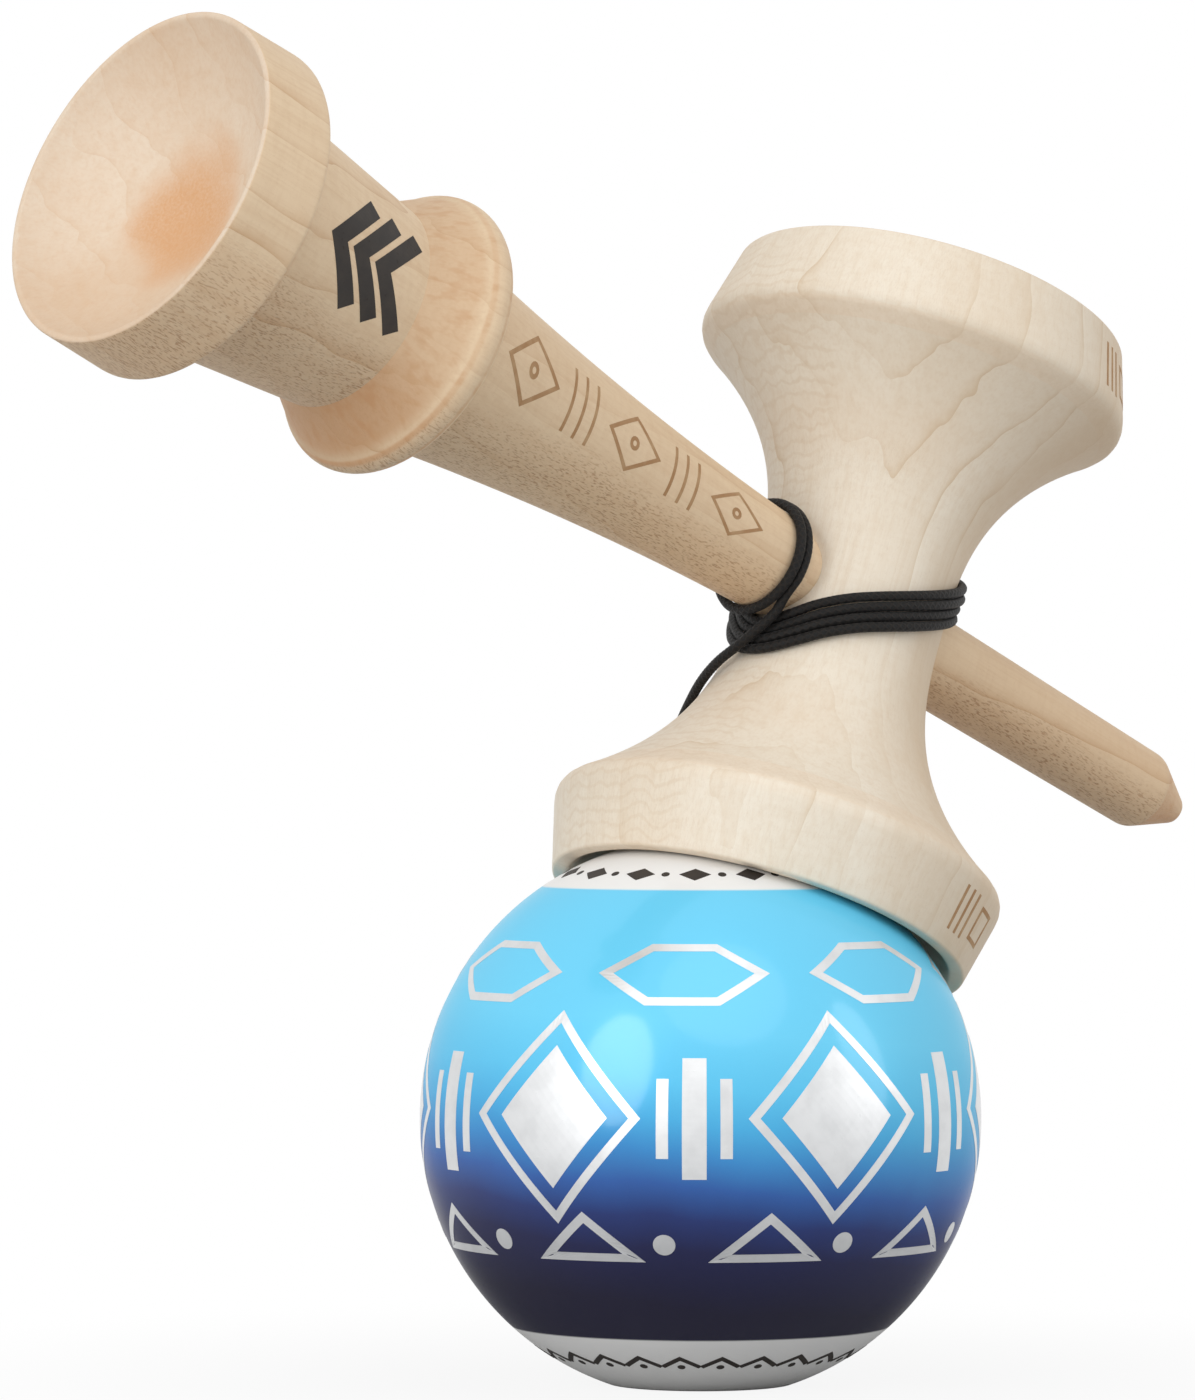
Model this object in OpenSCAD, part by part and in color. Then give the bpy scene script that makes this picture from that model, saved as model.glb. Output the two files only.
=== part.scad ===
// Kendama: a turned handle with a spike and a base cup, a pair of cross cups pushed on to it,
// and a ball on a cord, stood with the larger cross cup leaning on the ball.
// Sizes are in millimetres and angles in degrees. +Z is up. The origin is the middle of the
// flat ring that the ball stands on, and +Z runs along the axis of the ball's spike hole.
// Ken is the handle, sarado the cross cups and tama the ball.

/* [Tama] */
// Diameter of the ball
ball_d = 61; // [60:0.5:63]
// Outer radius of the flat ring that the ball stands on
ring_r = 10; // [9.6:0.1:11]
// Radius of the spike hole
bore_r = 8.2; // [7.8:0.1:8.4]
// Depth of the spike hole
bore_depth = 45; // [42:0.5:47]
// Width of the bevel at the mouth of the spike hole
bore_bevel = 0.8; // [0.4:0.1:1.1]
// Diameter of the cord hole at the top of the ball
top_hole_d = 3.2; // [2.6:0.1:4.4]
// Width of the bevel at the mouth of the cord hole
top_hole_bevel = 0.8; // [0.4:0.1:1.2]

/* [Ken] */
// Reach of the spike from the middle of the sarado to its tip
spike_reach = 58; // [54:0.5:64]
// Length of the cone at the end of the spike
spike_cone = 6.5; // [5:0.5:9]
// Radius of the spike behind its cone
spike_r = 4.65; // [4.3:0.05:4.9]
// Radius of the rounded spike tip
spike_tip_r = 1.5; // [1:0.1:2]
// Radius of the seat that the sarado is pushed on to
seat_r = 5.05; // [4.95:0.05:5.3]
// Radius of the shoulder that stops the sarado
stop_r = 5.6; // [5.5:0.05:6.2]
// Radius of the shaft where it meets the collar
shaft_end_r = 10.9; // [10:0.1:12]
// Distance from the middle of the sarado to the middle of the collar
collar_place = 72.2; // [69:0.2:75]
// Radius of the collar
collar_r = 15.9; // [15:0.1:17]
// Radius of the collar's rounded edge
collar_edge = 2.4; // [1.8:0.1:3]
// Length of the slope from the collar down to the grip
collar_slope = 7.3; // [6:0.1:8.5]
// Radius of the grip next to the collar
grip_neck_r = 11.8; // [11:0.1:12.6]
// Radius of the grip next to the base cup
grip_end_r = 13.9; // [13:0.1:14.6]
// Distance from the middle of the sarado to the lip of the base cup
base_reach = 110.2; // [107:0.2:114]
// Outer radius of the base cup at its lip
base_lip_r = 18.75; // [18:0.05:19.5]
// Outer radius of the base cup at its back edge
base_back_r = 18.95; // [18.5:0.05:20]
// Length of the base cup's straight side
base_side = 8.8; // [7.5:0.1:10]
// Thickness of the base cup's lip
base_lip = 0.6; // [0.5:0.05:1.2]
// Depth of the base cup
base_depth = 8.5; // [6.5:0.1:10]

/* [Sarado] */
// Radius of the neck at its waist
waist_r = 11; // [10.6:0.1:12]
// Power of the curve by which the neck flares into the cups
flare_power = 2.8; // [2.4:0.05:3.2]
// Reach of the small cup from the middle of the sarado to its lip
up_reach = 36.8; // [35:0.1:39]
// Length of the small cup's rim band
up_band = 9; // [8:0.1:10]
// Radius of the small cup at its shoulder
up_shoulder_r = 24.65; // [23.8:0.05:25.6]
// Outer radius of the small cup at its lip
up_lip_r = 22.25; // [21.6:0.05:23]
// Depth of the small cup
up_depth = 10; // [8.5:0.1:11]
// Reach of the large cup from the middle of the sarado to its lip
low_reach = 37.9; // [36:0.1:40]
// Length of the large cup's rim band
low_band = 9; // [8:0.1:10]
// Radius of the large cup at its shoulder
low_shoulder_r = 25.6; // [24.6:0.05:26.6]
// Outer radius of the large cup at its lip
low_lip_r = 23.4; // [22.8:0.05:24]
// Depth of the large cup
low_depth = 11.4; // [11:0.1:12]
// Thickness of the lips of both cups
cup_lip = 1.6; // [1.2:0.05:2]
// Length of rim and flare taken up by the rounding of each shoulder
shoulder_round = 1.6; // [0.8:0.1:2.2]

/* [Cord] */
// Diameter of the cord
cord_d = 1; // [0.8:0.05:1.05]
// Turns of cord around the neck of the sarado
cord_turns = 4; // [2:1:5]
// Distance between neighbouring turns of cord
cord_pitch = 1.85; // [1.8:0.05:2]
// Diameter of the cord hole through the neck and the shaft
neck_hole_d = 2.6; // [2.4:0.1:3]
// Distance from the middle of the sarado to the cord's loop over the shaft
shaft_loop_place = 14.9; // [14.6:0.1:16.4]
// Diameter of the bead
bead_d = 8.4; // [7:0.2:9]
// Diameter of the hole through the bead
bead_hole_d = 1.9; // [1.85:0.05:2.4]
// Slack in the cord: how far the bead can rise before it meets the end of the spike hole
bead_travel = 4; // [2:0.5:10]
// Diameter of the knot under the bead
knot_d = 3.6; // [3.2:0.1:4.4]

/* [Stance] */
// Lean of the sarado away from upright
lean = 23.3; // [18:0.1:26]
// Heading of the lean, from +X towards +Y
lean_heading = 47.3; // [40:0.1:56]
// Turn of the ken about the sarado's axis, from the heading of the lean
ken_turn = 175.7; // [168:0.1:184]
// Sideways shift of the large cup from its centred seat, which lets the cord out
seat_shift = 1.24; // [1.15:0.01:1.5]
// Heading of that shift, from the ken's grip about the sarado's axis
seat_heading = -144; // [-150:1:-138]

/* [Hidden] */
$fn = 96;

// Clearances and overruns
seat_gap = 0.3;
press_gap = 0.02;
wrap_gap = 0.22;
cross_gap = 0.55;
knot_gap = 0.3;
stop_gap = 0.6;
overrun = 1;

// Steps along each curve
flare_steps = 14;
shaft_steps = 8;
arc_steps = 8;
round_steps = 4;
loop_steps = 24;
winding_sides = 6;
lead_sides = 8;
lead_steps = 3;

// Colours
pale_wood = [0.85, 0.74, 0.58];
paint_blue = [0.16, 0.55, 0.86];
bead_wood = [0.72, 0.55, 0.36];
cord_black = [0.05, 0.05, 0.055];

// Places worked out for the ball
ball_r = ball_d / 2;
ball_centre = sqrt(ball_r * ball_r - ring_r * ring_r);
ball_top = ball_centre + ball_r;
bead_rest = bore_depth - bead_d / 2 - bead_travel;

// Places worked out for the sarado, from its middle
cord_r = cord_d / 2;
up_shoulder = up_reach - up_band;
low_shoulder = low_reach - low_band;
low_mouth_r = low_lip_r - cup_lip;
up_mouth_r = up_lip_r - cup_lip;
seat_drop = sqrt(pow(ball_r + seat_gap, 2) - pow(low_mouth_r - seat_shift, 2));
seat_height = seat_drop + low_reach;
seat_offset = [seat_shift * cos(seat_heading), seat_shift * sin(seat_heading), seat_height];

// Places worked out for the ken, from the middle of the sarado towards the base cup
stop_place = waist_r + stop_gap;
collar_foot = collar_place - 2 * collar_edge;
grip_start = collar_place + collar_slope;
base_back = base_reach - base_side;
cove_r = base_back_r - grip_end_r;
grip_end = base_back - cove_r;

// Radius of a bowl that is this wide and this deep
function bowl_r(mouth, depth) = (mouth * mouth + depth * depth) / (2 * depth);

// A quadratic curve that rounds the corner b between a and c
function rounded(a, b, c) = [for (i = [0:round_steps]) let (u = i / round_steps)
    (1 - u) * (1 - u) * a + 2 * u * (1 - u) * b + u * u * c];

// The point this far from a on the way to b
function along(a, b, far) = a + (b - a) * far / norm(b - a);

function unit(v) = v / norm(v);
function turn_z(p, a) = [p.x * cos(a) - p.y * sin(a), p.x * sin(a) + p.y * cos(a), p.z];
function turn_y(p, a) = [p.x * cos(a) + p.z * sin(a), p.y, p.z * cos(a) - p.x * sin(a)];

// Radius of the sarado at a height from its middle
function neck_r(z) = z > 0
    ? waist_r + (up_shoulder_r - waist_r) * pow(z / up_shoulder, flare_power)
    : waist_r + (low_shoulder_r - waist_r) * pow(-z / low_shoulder, flare_power);

// Radius of the ken's shaft between its stop and its collar
shaft_share = 0.38;
function shaft_r(x) = let (u = (x - stop_place) / (collar_foot - stop_place))
    stop_r + (shaft_end_r - stop_r) * (shaft_share * u + (1 - shaft_share) * u * u);

// From the sarado's own frame to the shared frame
function placed(p) = [0, 0, ball_centre]
    + turn_z(turn_y(turn_z(p + seat_offset, ken_turn), lean), lean_heading);

module at_sarado() {
    translate([0, 0, ball_centre]) rotate([0, lean, lean_heading]) rotate([0, 0, ken_turn])
        translate(seat_offset) children();
}

// Outline of the sarado: lower lip, lower shoulder, neck, upper shoulder, upper lip
function flare_points(shoulder, sign) = [for (i = [1:flare_steps - 1]) let (z = sign * shoulder * i / flare_steps)
    [neck_r(z), z]];
low_corner = [low_shoulder_r, -low_shoulder];
up_corner = [up_shoulder_r, up_shoulder];
low_flare = flare_points(low_shoulder, -1);
up_flare = flare_points(up_shoulder, 1);
sarado_outline = concat(
    [[0, -low_reach], [low_lip_r, -low_reach]],
    rounded(along(low_corner, [low_lip_r, -low_reach], shoulder_round), low_corner,
        along(low_corner, low_flare[flare_steps - 2], shoulder_round)),
    [for (i = [flare_steps - 2:-1:0]) low_flare[i]],
    [[waist_r, 0]],
    up_flare,
    rounded(along(up_corner, up_flare[flare_steps - 2], shoulder_round), up_corner,
        along(up_corner, [up_lip_r, up_reach], shoulder_round)),
    [[up_lip_r, up_reach], [0, up_reach]]);

module sarado() {
    up_bowl = bowl_r(up_mouth_r, up_depth);
    low_bowl = bowl_r(low_mouth_r, low_depth);
    color(pale_wood) at_sarado() difference() {
        rotate_extrude() polygon(sarado_outline);
        translate([0, 0, up_reach - up_depth + up_bowl]) sphere(up_bowl);
        translate([0, 0, low_depth - low_reach - low_bowl]) sphere(low_bowl);
        rotate([0, 90, 0]) cylinder(h = 2 * low_shoulder_r, r = seat_r + press_gap, center = true);
        rotate([90, 0, 0]) cylinder(h = low_shoulder_r, d = neck_hole_d);
    }
}

// Outline of the ken as radius and distance towards the base cup
tip_corner = [spike_tip_r, -spike_reach];
cone_corner = [spike_r, spike_cone - spike_reach];
back_corner = [base_back_r, base_back];
lip_corner = [base_lip_r, base_reach];
ken_outline = concat(
    [[0, -spike_reach]],
    rounded([spike_tip_r / 2, -spike_reach], tip_corner, along(tip_corner, cone_corner, spike_tip_r)),
    rounded(along(cone_corner, tip_corner, spike_tip_r), cone_corner,
        along(cone_corner, [seat_r, -waist_r], spike_tip_r)),
    [[seat_r, -waist_r], [seat_r, stop_place]],
    [for (i = [0:shaft_steps]) let (x = stop_place + (collar_foot - stop_place) * i / shaft_steps) [shaft_r(x), x]],
    [for (i = [0:arc_steps]) let (a = 150 - 110 * i / arc_steps)
        [collar_r - collar_edge + collar_edge * sin(a), collar_place + collar_edge * cos(a)]],
    [[grip_neck_r, grip_start], [grip_end_r, grip_end]],
    [for (i = [1:arc_steps - 1]) let (a = 90 * i / arc_steps)
        [base_back_r - cove_r * cos(a), grip_end + cove_r * sin(a)]],
    rounded(along(back_corner, [grip_end_r, base_back], base_lip), back_corner,
        along(back_corner, lip_corner, base_lip)),
    [lip_corner, [0, base_reach]]);

module ken() {
    base_bowl = bowl_r(base_lip_r - base_lip, base_depth);
    color(pale_wood) at_sarado() difference() {
        rotate([0, 90, 0]) rotate_extrude() polygon(ken_outline);
        translate([base_reach - base_depth + base_bowl, 0, 0]) rotate([0, 90, 0]) sphere(base_bowl);
        rotate([90, 0, 0]) cylinder(h = 2 * waist_r, d = neck_hole_d, center = true);
    }
}

module tama() {
    color(paint_blue) difference() {
        translate([0, 0, ball_centre]) sphere(ball_r);
        translate([-ball_d, -ball_d, -ball_d]) cube([2 * ball_d, 2 * ball_d, ball_d]);
        translate([0, 0, -overrun]) cylinder(h = bore_depth + overrun, r = bore_r);
        cylinder(h = bore_bevel, r1 = bore_r + bore_bevel, r2 = bore_r);
        translate([0, 0, bore_depth - overrun]) cylinder(h = ball_d, d = top_hole_d);
        translate([0, 0, ball_top - top_hole_bevel])
            cylinder(h = top_hole_bevel + overrun, d1 = top_hole_d, d2 = top_hole_d + 2 * (top_hole_bevel + overrun));
    }
}

module bead() {
    color(bead_wood) translate([0, 0, bead_rest]) difference() {
        sphere(d = bead_d);
        cylinder(h = 2 * bead_d, d = bead_hole_d, center = true);
    }
}

// A round tube along a path, as rings carried along it without twist
function path_ways(p) = [for (i = [0:len(p) - 1])
    unit(p[min(i + 1, len(p) - 1)] - p[max(i - 1, 0)])];
function carried(ways, first) = [for (i = 0, n = first; i < len(ways);
    i = i + 1, n = i < len(ways) ? unit(n - (n * ways[i]) * ways[i]) : n) n];
module tube(path, sides) {
    ways = path_ways(path);
    helper = abs(ways[0].z) < abs(ways[0].x) ? [0, 0, 1] : [1, 0, 0];
    sideways = carried(ways, unit(cross(ways[0], helper)));
    rings = [for (i = [0:len(path) - 1]) for (j = [0:sides - 1]) let (a = 360 * j / sides)
        path[i] + cord_r * (cos(a) * sideways[i] + sin(a) * cross(ways[i], sideways[i]))];
    walls = [for (i = [0:len(path) - 2]) for (j = [0:sides - 1]) let (k = (j + 1) % sides)
        each [[i * sides + j, (i + 1) * sides + j, (i + 1) * sides + k], [i * sides + j, (i + 1) * sides + k, i * sides + k]]];
    last = (len(path) - 1) * sides;
    polyhedron(points = rings, faces = concat(walls,
        [[for (j = [0:sides - 1]) j]], [[for (j = [sides - 1:-1:0]) last + j]]), convexity = 10);
}

// A smooth curve through points, from the second to the last but one
function smooth(p, steps) = [for (i = [1:len(p) - 3]) for (s = [0:steps - 1]) let (u = s / steps)
    0.5 * (2 * p[i] + (p[i + 1] - p[i - 1]) * u
        + (2 * p[i - 1] - 5 * p[i] + 4 * p[i + 1] - p[i + 2]) * u * u
        + (3 * p[i] - p[i - 1] - 3 * p[i + 1] + p[i + 2]) * u * u * u)];

// The cord's way from its knot in the shaft, out of the neck's hole at the back, up around the neck
// under the grip side and over the spike side, and over the shaft from behind
anchor_d = neck_hole_d - 2 * press_gap;
anchor_face = sqrt(pow(anchor_d / 2, 2) - pow(cord_r, 2));
spike_side = seat_r + cord_r + cross_gap;
grip_side = shaft_r(stop_place + cord_d) + cord_r + cross_gap;
loop_mid = cord_turns * cord_pitch / 4;
spike_tilt = spike_side + loop_mid - 0.75 * cord_pitch;
grip_tilt = grip_side - loop_mid + (cord_turns - 0.75) * cord_pitch;
dip_power = 1.5;
function dip(a) = cos(a) > 0 ? grip_tilt * pow(cos(a), dip_power) : -spike_tilt * pow(-cos(a), dip_power);
function loop_z(a) = cord_pitch * (a + 90) / 360 - loop_mid * (1 + sin(a)) - dip(a);
function loop_point(a) = let (z = loop_z(a), r = neck_r(z) + cord_r + wrap_gap) [r * cos(a), r * sin(a), z];
exit_r = waist_r + cord_r + wrap_gap;
exit_bend = cord_d;
exit_turn = exit_bend * 180 / (PI * exit_r);
loop_start = 2 * exit_turn - 90;
loop_stop = 360 * cord_turns - 60;
loop_count = ceil(loop_steps * (loop_stop - loop_start) / 360);
shaft_loop_r = shaft_r(shaft_loop_place) + cord_r + wrap_gap;
shaft_loop_first = 125;
shaft_loop_step = 28;
shaft_loop_count = 6;
shaft_slant_share = 0.25;
function shaft_loop_point(i) = let (a = shaft_loop_first - shaft_loop_step * i)
    [shaft_loop_place - shaft_slant_share * i * cord_d, shaft_loop_r * cos(a), shaft_loop_r * sin(a)];
shaft_loop_end = shaft_loop_point(shaft_loop_count);
shaft_loop_way = unit(shaft_loop_point(shaft_loop_count + 1) - shaft_loop_point(shaft_loop_count - 1));
loop_last = loop_point(loop_stop);
loop_leap = shaft_loop_point(0) - loop_last;
crossing = concat(
    [loop_point(loop_stop - 12), loop_last, loop_last + loop_leap / 3 - [0, cord_d, 0],
        loop_last + loop_leap * 2 / 3 - [0, cord_d, 0]],
    [for (i = [0:shaft_loop_count + 1]) shaft_loop_point(i)]);
winding_path = concat(
    [[0, -anchor_face, 0], [0, -anchor_face - cord_d, 0], [0, -waist_r / 2, 0]],
    [for (i = [0:round_steps]) let (a = 90 * i / round_steps)
        [exit_bend * (1 - cos(a)), exit_bend * (1 - sin(a)) - exit_r, 0]],
    [for (i = [0:loop_count - 1]) loop_point(loop_start + (loop_stop - loop_start) * i / loop_count)],
    smooth(crossing, 3),
    [shaft_loop_end, shaft_loop_end + cord_d * shaft_loop_way]);
winding_last = len(winding_path) - 1;

module string_winding() {
    color(cord_black) at_sarado() tube(winding_path, winding_sides);
}

// The cord's way from the shaft across the front of the turns, down the back of the large cup and in
// under its lip beside the ball, to the cord hole at the top of the ball and the knot under the bead
side_turns = [12, -3, -21, -38, -54, -71, -88, -101, -107, -110];
side_height_shares = [0.263, 0.346, 0.422, 0.498, 0.6, 0.74, 0.89, 1.0, 1.13, 1.27];
side_lift_shares = [1.8, 1.5, 0.95, 0.45, 0.1, 0, 0, 0, 0, 0];
side_last = len(side_turns) - 1;
function side_r(share) = (share > 1
    ? low_shoulder_r + (low_lip_r - low_shoulder_r) * (share - 1) * low_shoulder / low_band
    : neck_r(-share * low_shoulder)) + cord_r + cross_gap;
function side_point(i) = let (a = side_turns[i], r = side_r(side_height_shares[i]) + side_lift_shares[i] * cord_d)
    [r * cos(a), r * sin(a), -side_height_shares[i] * low_shoulder];
winding_end = winding_path[winding_last];
winding_way = unit(winding_end - winding_path[winding_last - 1]);
rim_turn = side_turns[side_last];
rim_edge = placed([low_mouth_r * cos(rim_turn), low_mouth_r * sin(rim_turn), -low_reach]);
ball_middle = [0, 0, ball_centre];
rim_gap = norm(rim_edge - ball_middle) - ball_r;
rim_way = unit(rim_edge - ball_middle);
lip_point = placed([(low_lip_r + cord_r) * cos(rim_turn), (low_lip_r + cord_r) * sin(rim_turn),
    -low_reach - cord_r - cross_gap]);
inner_shares = [0.22, 0.45, 0.68, 0.86];
function inner_point(u) = ball_middle + unit((1 - u) * rim_way + u * [0, 0, 1]) * (ball_r + rim_gap / 2);
pole_way = unit([rim_way.x, rim_way.y, 0]);
knot_top = bead_rest - sqrt(pow(bead_d / 2, 2) - pow(bead_hole_d / 2, 2)) - knot_gap;
lead_route = concat(
    [placed(winding_end - cord_d * winding_way), placed(winding_end), placed(winding_end + cord_d * winding_way)],
    [for (i = [0:side_last]) placed(side_point(i))],
    [lip_point, ball_middle + rim_way * (ball_r + rim_gap / 2)],
    [for (u = inner_shares) inner_point(u)],
    [[0, 0, ball_top] + pole_way * cord_d + [0, 0, cord_d], [0, 0, ball_top], [0, 0, ball_top - top_hole_d]]);
straight_steps = 6;
straight_top = ball_top - top_hole_d;
straight_end = knot_top + cord_d;
lead_path = concat(
    smooth(lead_route, lead_steps),
    [[0, 0, ball_top]],
    [for (i = [0:straight_steps]) [0, 0, straight_top + (straight_end - straight_top) * i / straight_steps]],
    [[0, 0, knot_top]]);

module string_lead() {
    color(cord_black) tube(lead_path, lead_sides);
}

// The knot under the bead, cut flat where the lead meets it, with a short tail below
module end_knot() {
    knot_r = knot_d / 2;
    knot_middle = knot_top - sqrt(knot_r * knot_r - cord_d * cord_d);
    tail = 2 * cord_d;
    color(cord_black) difference() {
        union() {
            translate([0, 0, knot_middle]) sphere(knot_r);
            translate([0, 0, knot_middle - knot_r - tail]) cylinder(h = tail + knot_r, d = cord_d);
        }
        translate([-knot_d, -knot_d, knot_top]) cube([2 * knot_d, 2 * knot_d, knot_d]);
    }
}

module anchor_knot() {
    color(cord_black) at_sarado() difference() {
        sphere(d = anchor_d);
        translate([-anchor_d, -anchor_face - 2 * anchor_d, -anchor_d]) cube(2 * anchor_d);
    }
}

// Least gap of the cord to itself, on the points of its path that lie over three turns of a ring apart
function path_length(p) = [for (i = 0, s = 0; i < len(p); s = s + (i + 1 < len(p) ? norm(p[i + 1] - p[i]) : 0), i = i + 1) s];
module cord_report(name, p) {
    far = path_length(p);
    gaps = [for (i = [0:len(p) - 1]) for (j = [i + 1:len(p) - 1]) if (far[j] - far[i] > 4 * cord_d) norm(p[i] - p[j]) - cord_d];
    echo(str(name, " length ", far[len(p) - 1], " least gap to itself ", min(gaps), " rings ", len(p)));
}
cord_report("winding", winding_path);
cord_report("lead", lead_path);
echo(str("gap at the lip beside the cord ", rim_gap, " seat height ", seat_height, " bead rest ", bead_rest));

ken();
sarado();
tama();
bead();
string_winding();
string_lead();
end_knot();
anchor_knot();
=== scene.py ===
"""Looks for a kendama stood on its ball: turned wood, gloss paint, foil, ink and a braided cord.

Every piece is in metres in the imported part's own frame. Sizes in the classes are in millimetres
and angles in degrees, as a maker would give them.
"""

from __future__ import annotations

import logging
import math
from dataclasses import dataclass
from enum import Enum
from typing import Callable, Sequence

import bmesh
import bpy
import numpy as np
from mathutils import Matrix, Vector

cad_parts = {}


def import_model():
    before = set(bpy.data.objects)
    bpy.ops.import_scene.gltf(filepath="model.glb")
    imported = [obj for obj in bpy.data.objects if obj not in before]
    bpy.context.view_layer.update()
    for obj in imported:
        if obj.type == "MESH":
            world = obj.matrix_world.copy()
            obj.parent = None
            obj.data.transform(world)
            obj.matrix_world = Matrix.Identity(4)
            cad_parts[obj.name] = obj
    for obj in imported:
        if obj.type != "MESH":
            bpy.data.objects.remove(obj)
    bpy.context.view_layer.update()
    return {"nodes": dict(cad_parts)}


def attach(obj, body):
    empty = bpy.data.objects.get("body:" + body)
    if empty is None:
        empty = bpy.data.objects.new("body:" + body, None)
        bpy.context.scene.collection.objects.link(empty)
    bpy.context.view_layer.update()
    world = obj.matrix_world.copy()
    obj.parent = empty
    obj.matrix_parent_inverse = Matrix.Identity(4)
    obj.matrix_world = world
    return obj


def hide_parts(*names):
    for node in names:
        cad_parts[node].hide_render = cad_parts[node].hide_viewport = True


LOG = logging.getLogger("kendama")
MM = 0.001
Point = tuple[float, float]
Profile = list[Point]
Grid = list[list[Point]]
Colour = tuple[float, float, float]
Lay = Callable[[float, float, float], Vector]
BMesh = bmesh.types.BMesh
Material = bpy.types.Material
Node = bpy.types.Node
Piece = bpy.types.Object
Socket = bpy.types.NodeSocket
Tree = bpy.types.NodeTree


class Body(Enum):
    """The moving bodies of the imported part."""

    TAMA = "tama"
    BEAD = "bead"
    KEN = "ken"


class Slot(Enum):
    """The record's material slots."""

    PALE_WOOD = "pale_wood"
    PAINTED_WOOD = "painted_wood"
    BEAD_WOOD = "bead_wood"
    CORD = "cord"


# Where the pieces stand


@dataclass(frozen=True)
class Stance:
    """How the handle stands on the ball, with the sizes that settle it."""

    ball_r: float = 30.5
    ring_r: float = 10.0
    lean: float = 23.3
    lean_heading: float = 47.3
    ken_turn: float = 175.7
    seat_shift: float = 1.24
    seat_heading: float = -144.0
    seat_gap: float = 0.3
    low_reach: float = 37.9
    low_mouth_r: float = 21.8

    @property
    def ball_centre(self) -> float:
        """Height of the ball's middle above the floor."""
        return math.sqrt(self.ball_r**2 - self.ring_r**2)

    @property
    def seat_height(self) -> float:
        """Distance from the ball's middle to the middle of the sarado."""
        inner = self.low_mouth_r - self.seat_shift
        return math.sqrt((self.ball_r + self.seat_gap) ** 2 - inner**2) + self.low_reach

    def sarado_matrix(self) -> Matrix:
        """Matrix from the sarado's own frame to the shared frame, in millimetres."""
        heading = math.radians(self.seat_heading)
        offset = Vector(
            (self.seat_shift * math.cos(heading), self.seat_shift * math.sin(heading), self.seat_height)
        )
        return (
            Matrix.Translation((0.0, 0.0, self.ball_centre))
            @ Matrix.Rotation(math.radians(self.lean_heading), 4, "Z")
            @ Matrix.Rotation(math.radians(self.lean), 4, "Y")
            @ Matrix.Rotation(math.radians(self.ken_turn), 4, "Z")
            @ Matrix.Translation(offset)
        )

    def ken_matrix(self) -> Matrix:
        """Matrix from a frame whose Z runs along the ken to the shared frame, in millimetres."""
        return self.sarado_matrix() @ Matrix.Rotation(math.radians(90.0), 4, "Y")


# Meshes


def arc(centre: Point, radius: float, start: float, stop: float, steps: int) -> Profile:
    """Points on a circle.

    Args:
        centre: Middle of the circle as radius and height.
        radius: Radius of the circle.
        start: First angle in degrees.
        stop: Last angle in degrees.
        steps: Number of steps between them.

    Returns:
        The points as radius and height.
    """
    angles = [math.radians(start + (stop - start) * i / steps) for i in range(steps + 1)]
    return [(centre[0] + radius * math.cos(a), centre[1] + radius * math.sin(a)) for a in angles]


def bowl_curve(mouth: float, depth: float, lip: float, steps: int) -> Profile:
    """A round bowl from its bottom to its mouth.

    Args:
        mouth: Radius of the mouth.
        depth: Depth of the bowl.
        lip: Height of the mouth.
        steps: Number of points.

    Returns:
        The points as radius and height.
    """
    r = (mouth**2 + depth**2) / (2 * depth)
    return arc((0.0, lip - depth + r), r, -90.0, math.degrees(math.asin(mouth / r)) - 90.0, steps - 1)


def eased(points: Profile, index: int, size: float, steps: int = 4) -> Profile:
    """Rounds one corner of a profile.

    Args:
        points: The profile.
        index: The corner's place in it.
        size: Length of each side that the rounding takes up.
        steps: Steps along the rounding.

    Returns:
        The points that stand for the corner.
    """
    before, corner, after = (np.array(points[i]) for i in (index - 1, index, index + 1))
    first = corner + (before - corner) * min(0.5, size / np.linalg.norm(before - corner))
    last = corner + (after - corner) * min(0.5, size / np.linalg.norm(after - corner))
    made = []
    for i in range(steps + 1):
        u = i / steps
        made.append(tuple((1 - u) ** 2 * first + 2 * u * (1 - u) * corner + u * u * last))
    return made


def round_corners(points: Profile, corners: dict[int, float]) -> Profile:
    """Rounds the named corners of a profile.

    Args:
        points: The profile.
        corners: The size of the rounding for each corner's place.

    Returns:
        The new profile.
    """
    made: Profile = []
    for i, point in enumerate(points):
        made.extend(eased(points, i, corners[i]) if i in corners else [point])
    return made


def dense(points: Profile, step: float) -> Profile:
    """Adds points along a profile's long straight runs.

    Args:
        points: The profile.
        step: The longest run left.

    Returns:
        The new profile.
    """
    made: Profile = [points[0]]
    for a, b in zip(points, points[1:]):
        count = max(1, math.ceil(math.dist(a, b) / step))
        made.extend(
            (a[0] + (b[0] - a[0]) * i / count, a[1] + (b[1] - a[1]) * i / count) for i in range(1, count + 1)
        )
    return made


def lathe(profile: Profile, segments: int, closed: bool = False) -> BMesh:
    """Turns a profile about Z into a closed solid.

    Args:
        profile: Points as radius and height.
        segments: Faces around the axis.
        closed: True where the profile is a loop that stays off the axis.

    Returns:
        The turned solid.
    """
    bm = bmesh.new()
    rings = []
    for r, z in profile:
        if r < 1e-6:
            rings.append([bm.verts.new((0.0, 0.0, z))])
            continue
        turns = (2 * math.pi * j / segments for j in range(segments))
        rings.append([bm.verts.new((r * math.cos(a), r * math.sin(a), z)) for a in turns])
    pairs = list(zip(rings, rings[1:]))
    if closed:
        pairs.append((rings[-1], rings[0]))
    for low, high in pairs:
        for j in range(segments):
            k = (j + 1) % segments
            corners = [low[j % len(low)], low[k % len(low)], high[k % len(high)], high[j % len(high)]]
            bm.faces.new(list(dict.fromkeys(corners)))
    bmesh.ops.recalc_face_normals(bm, faces=bm.faces)
    return bm


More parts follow.
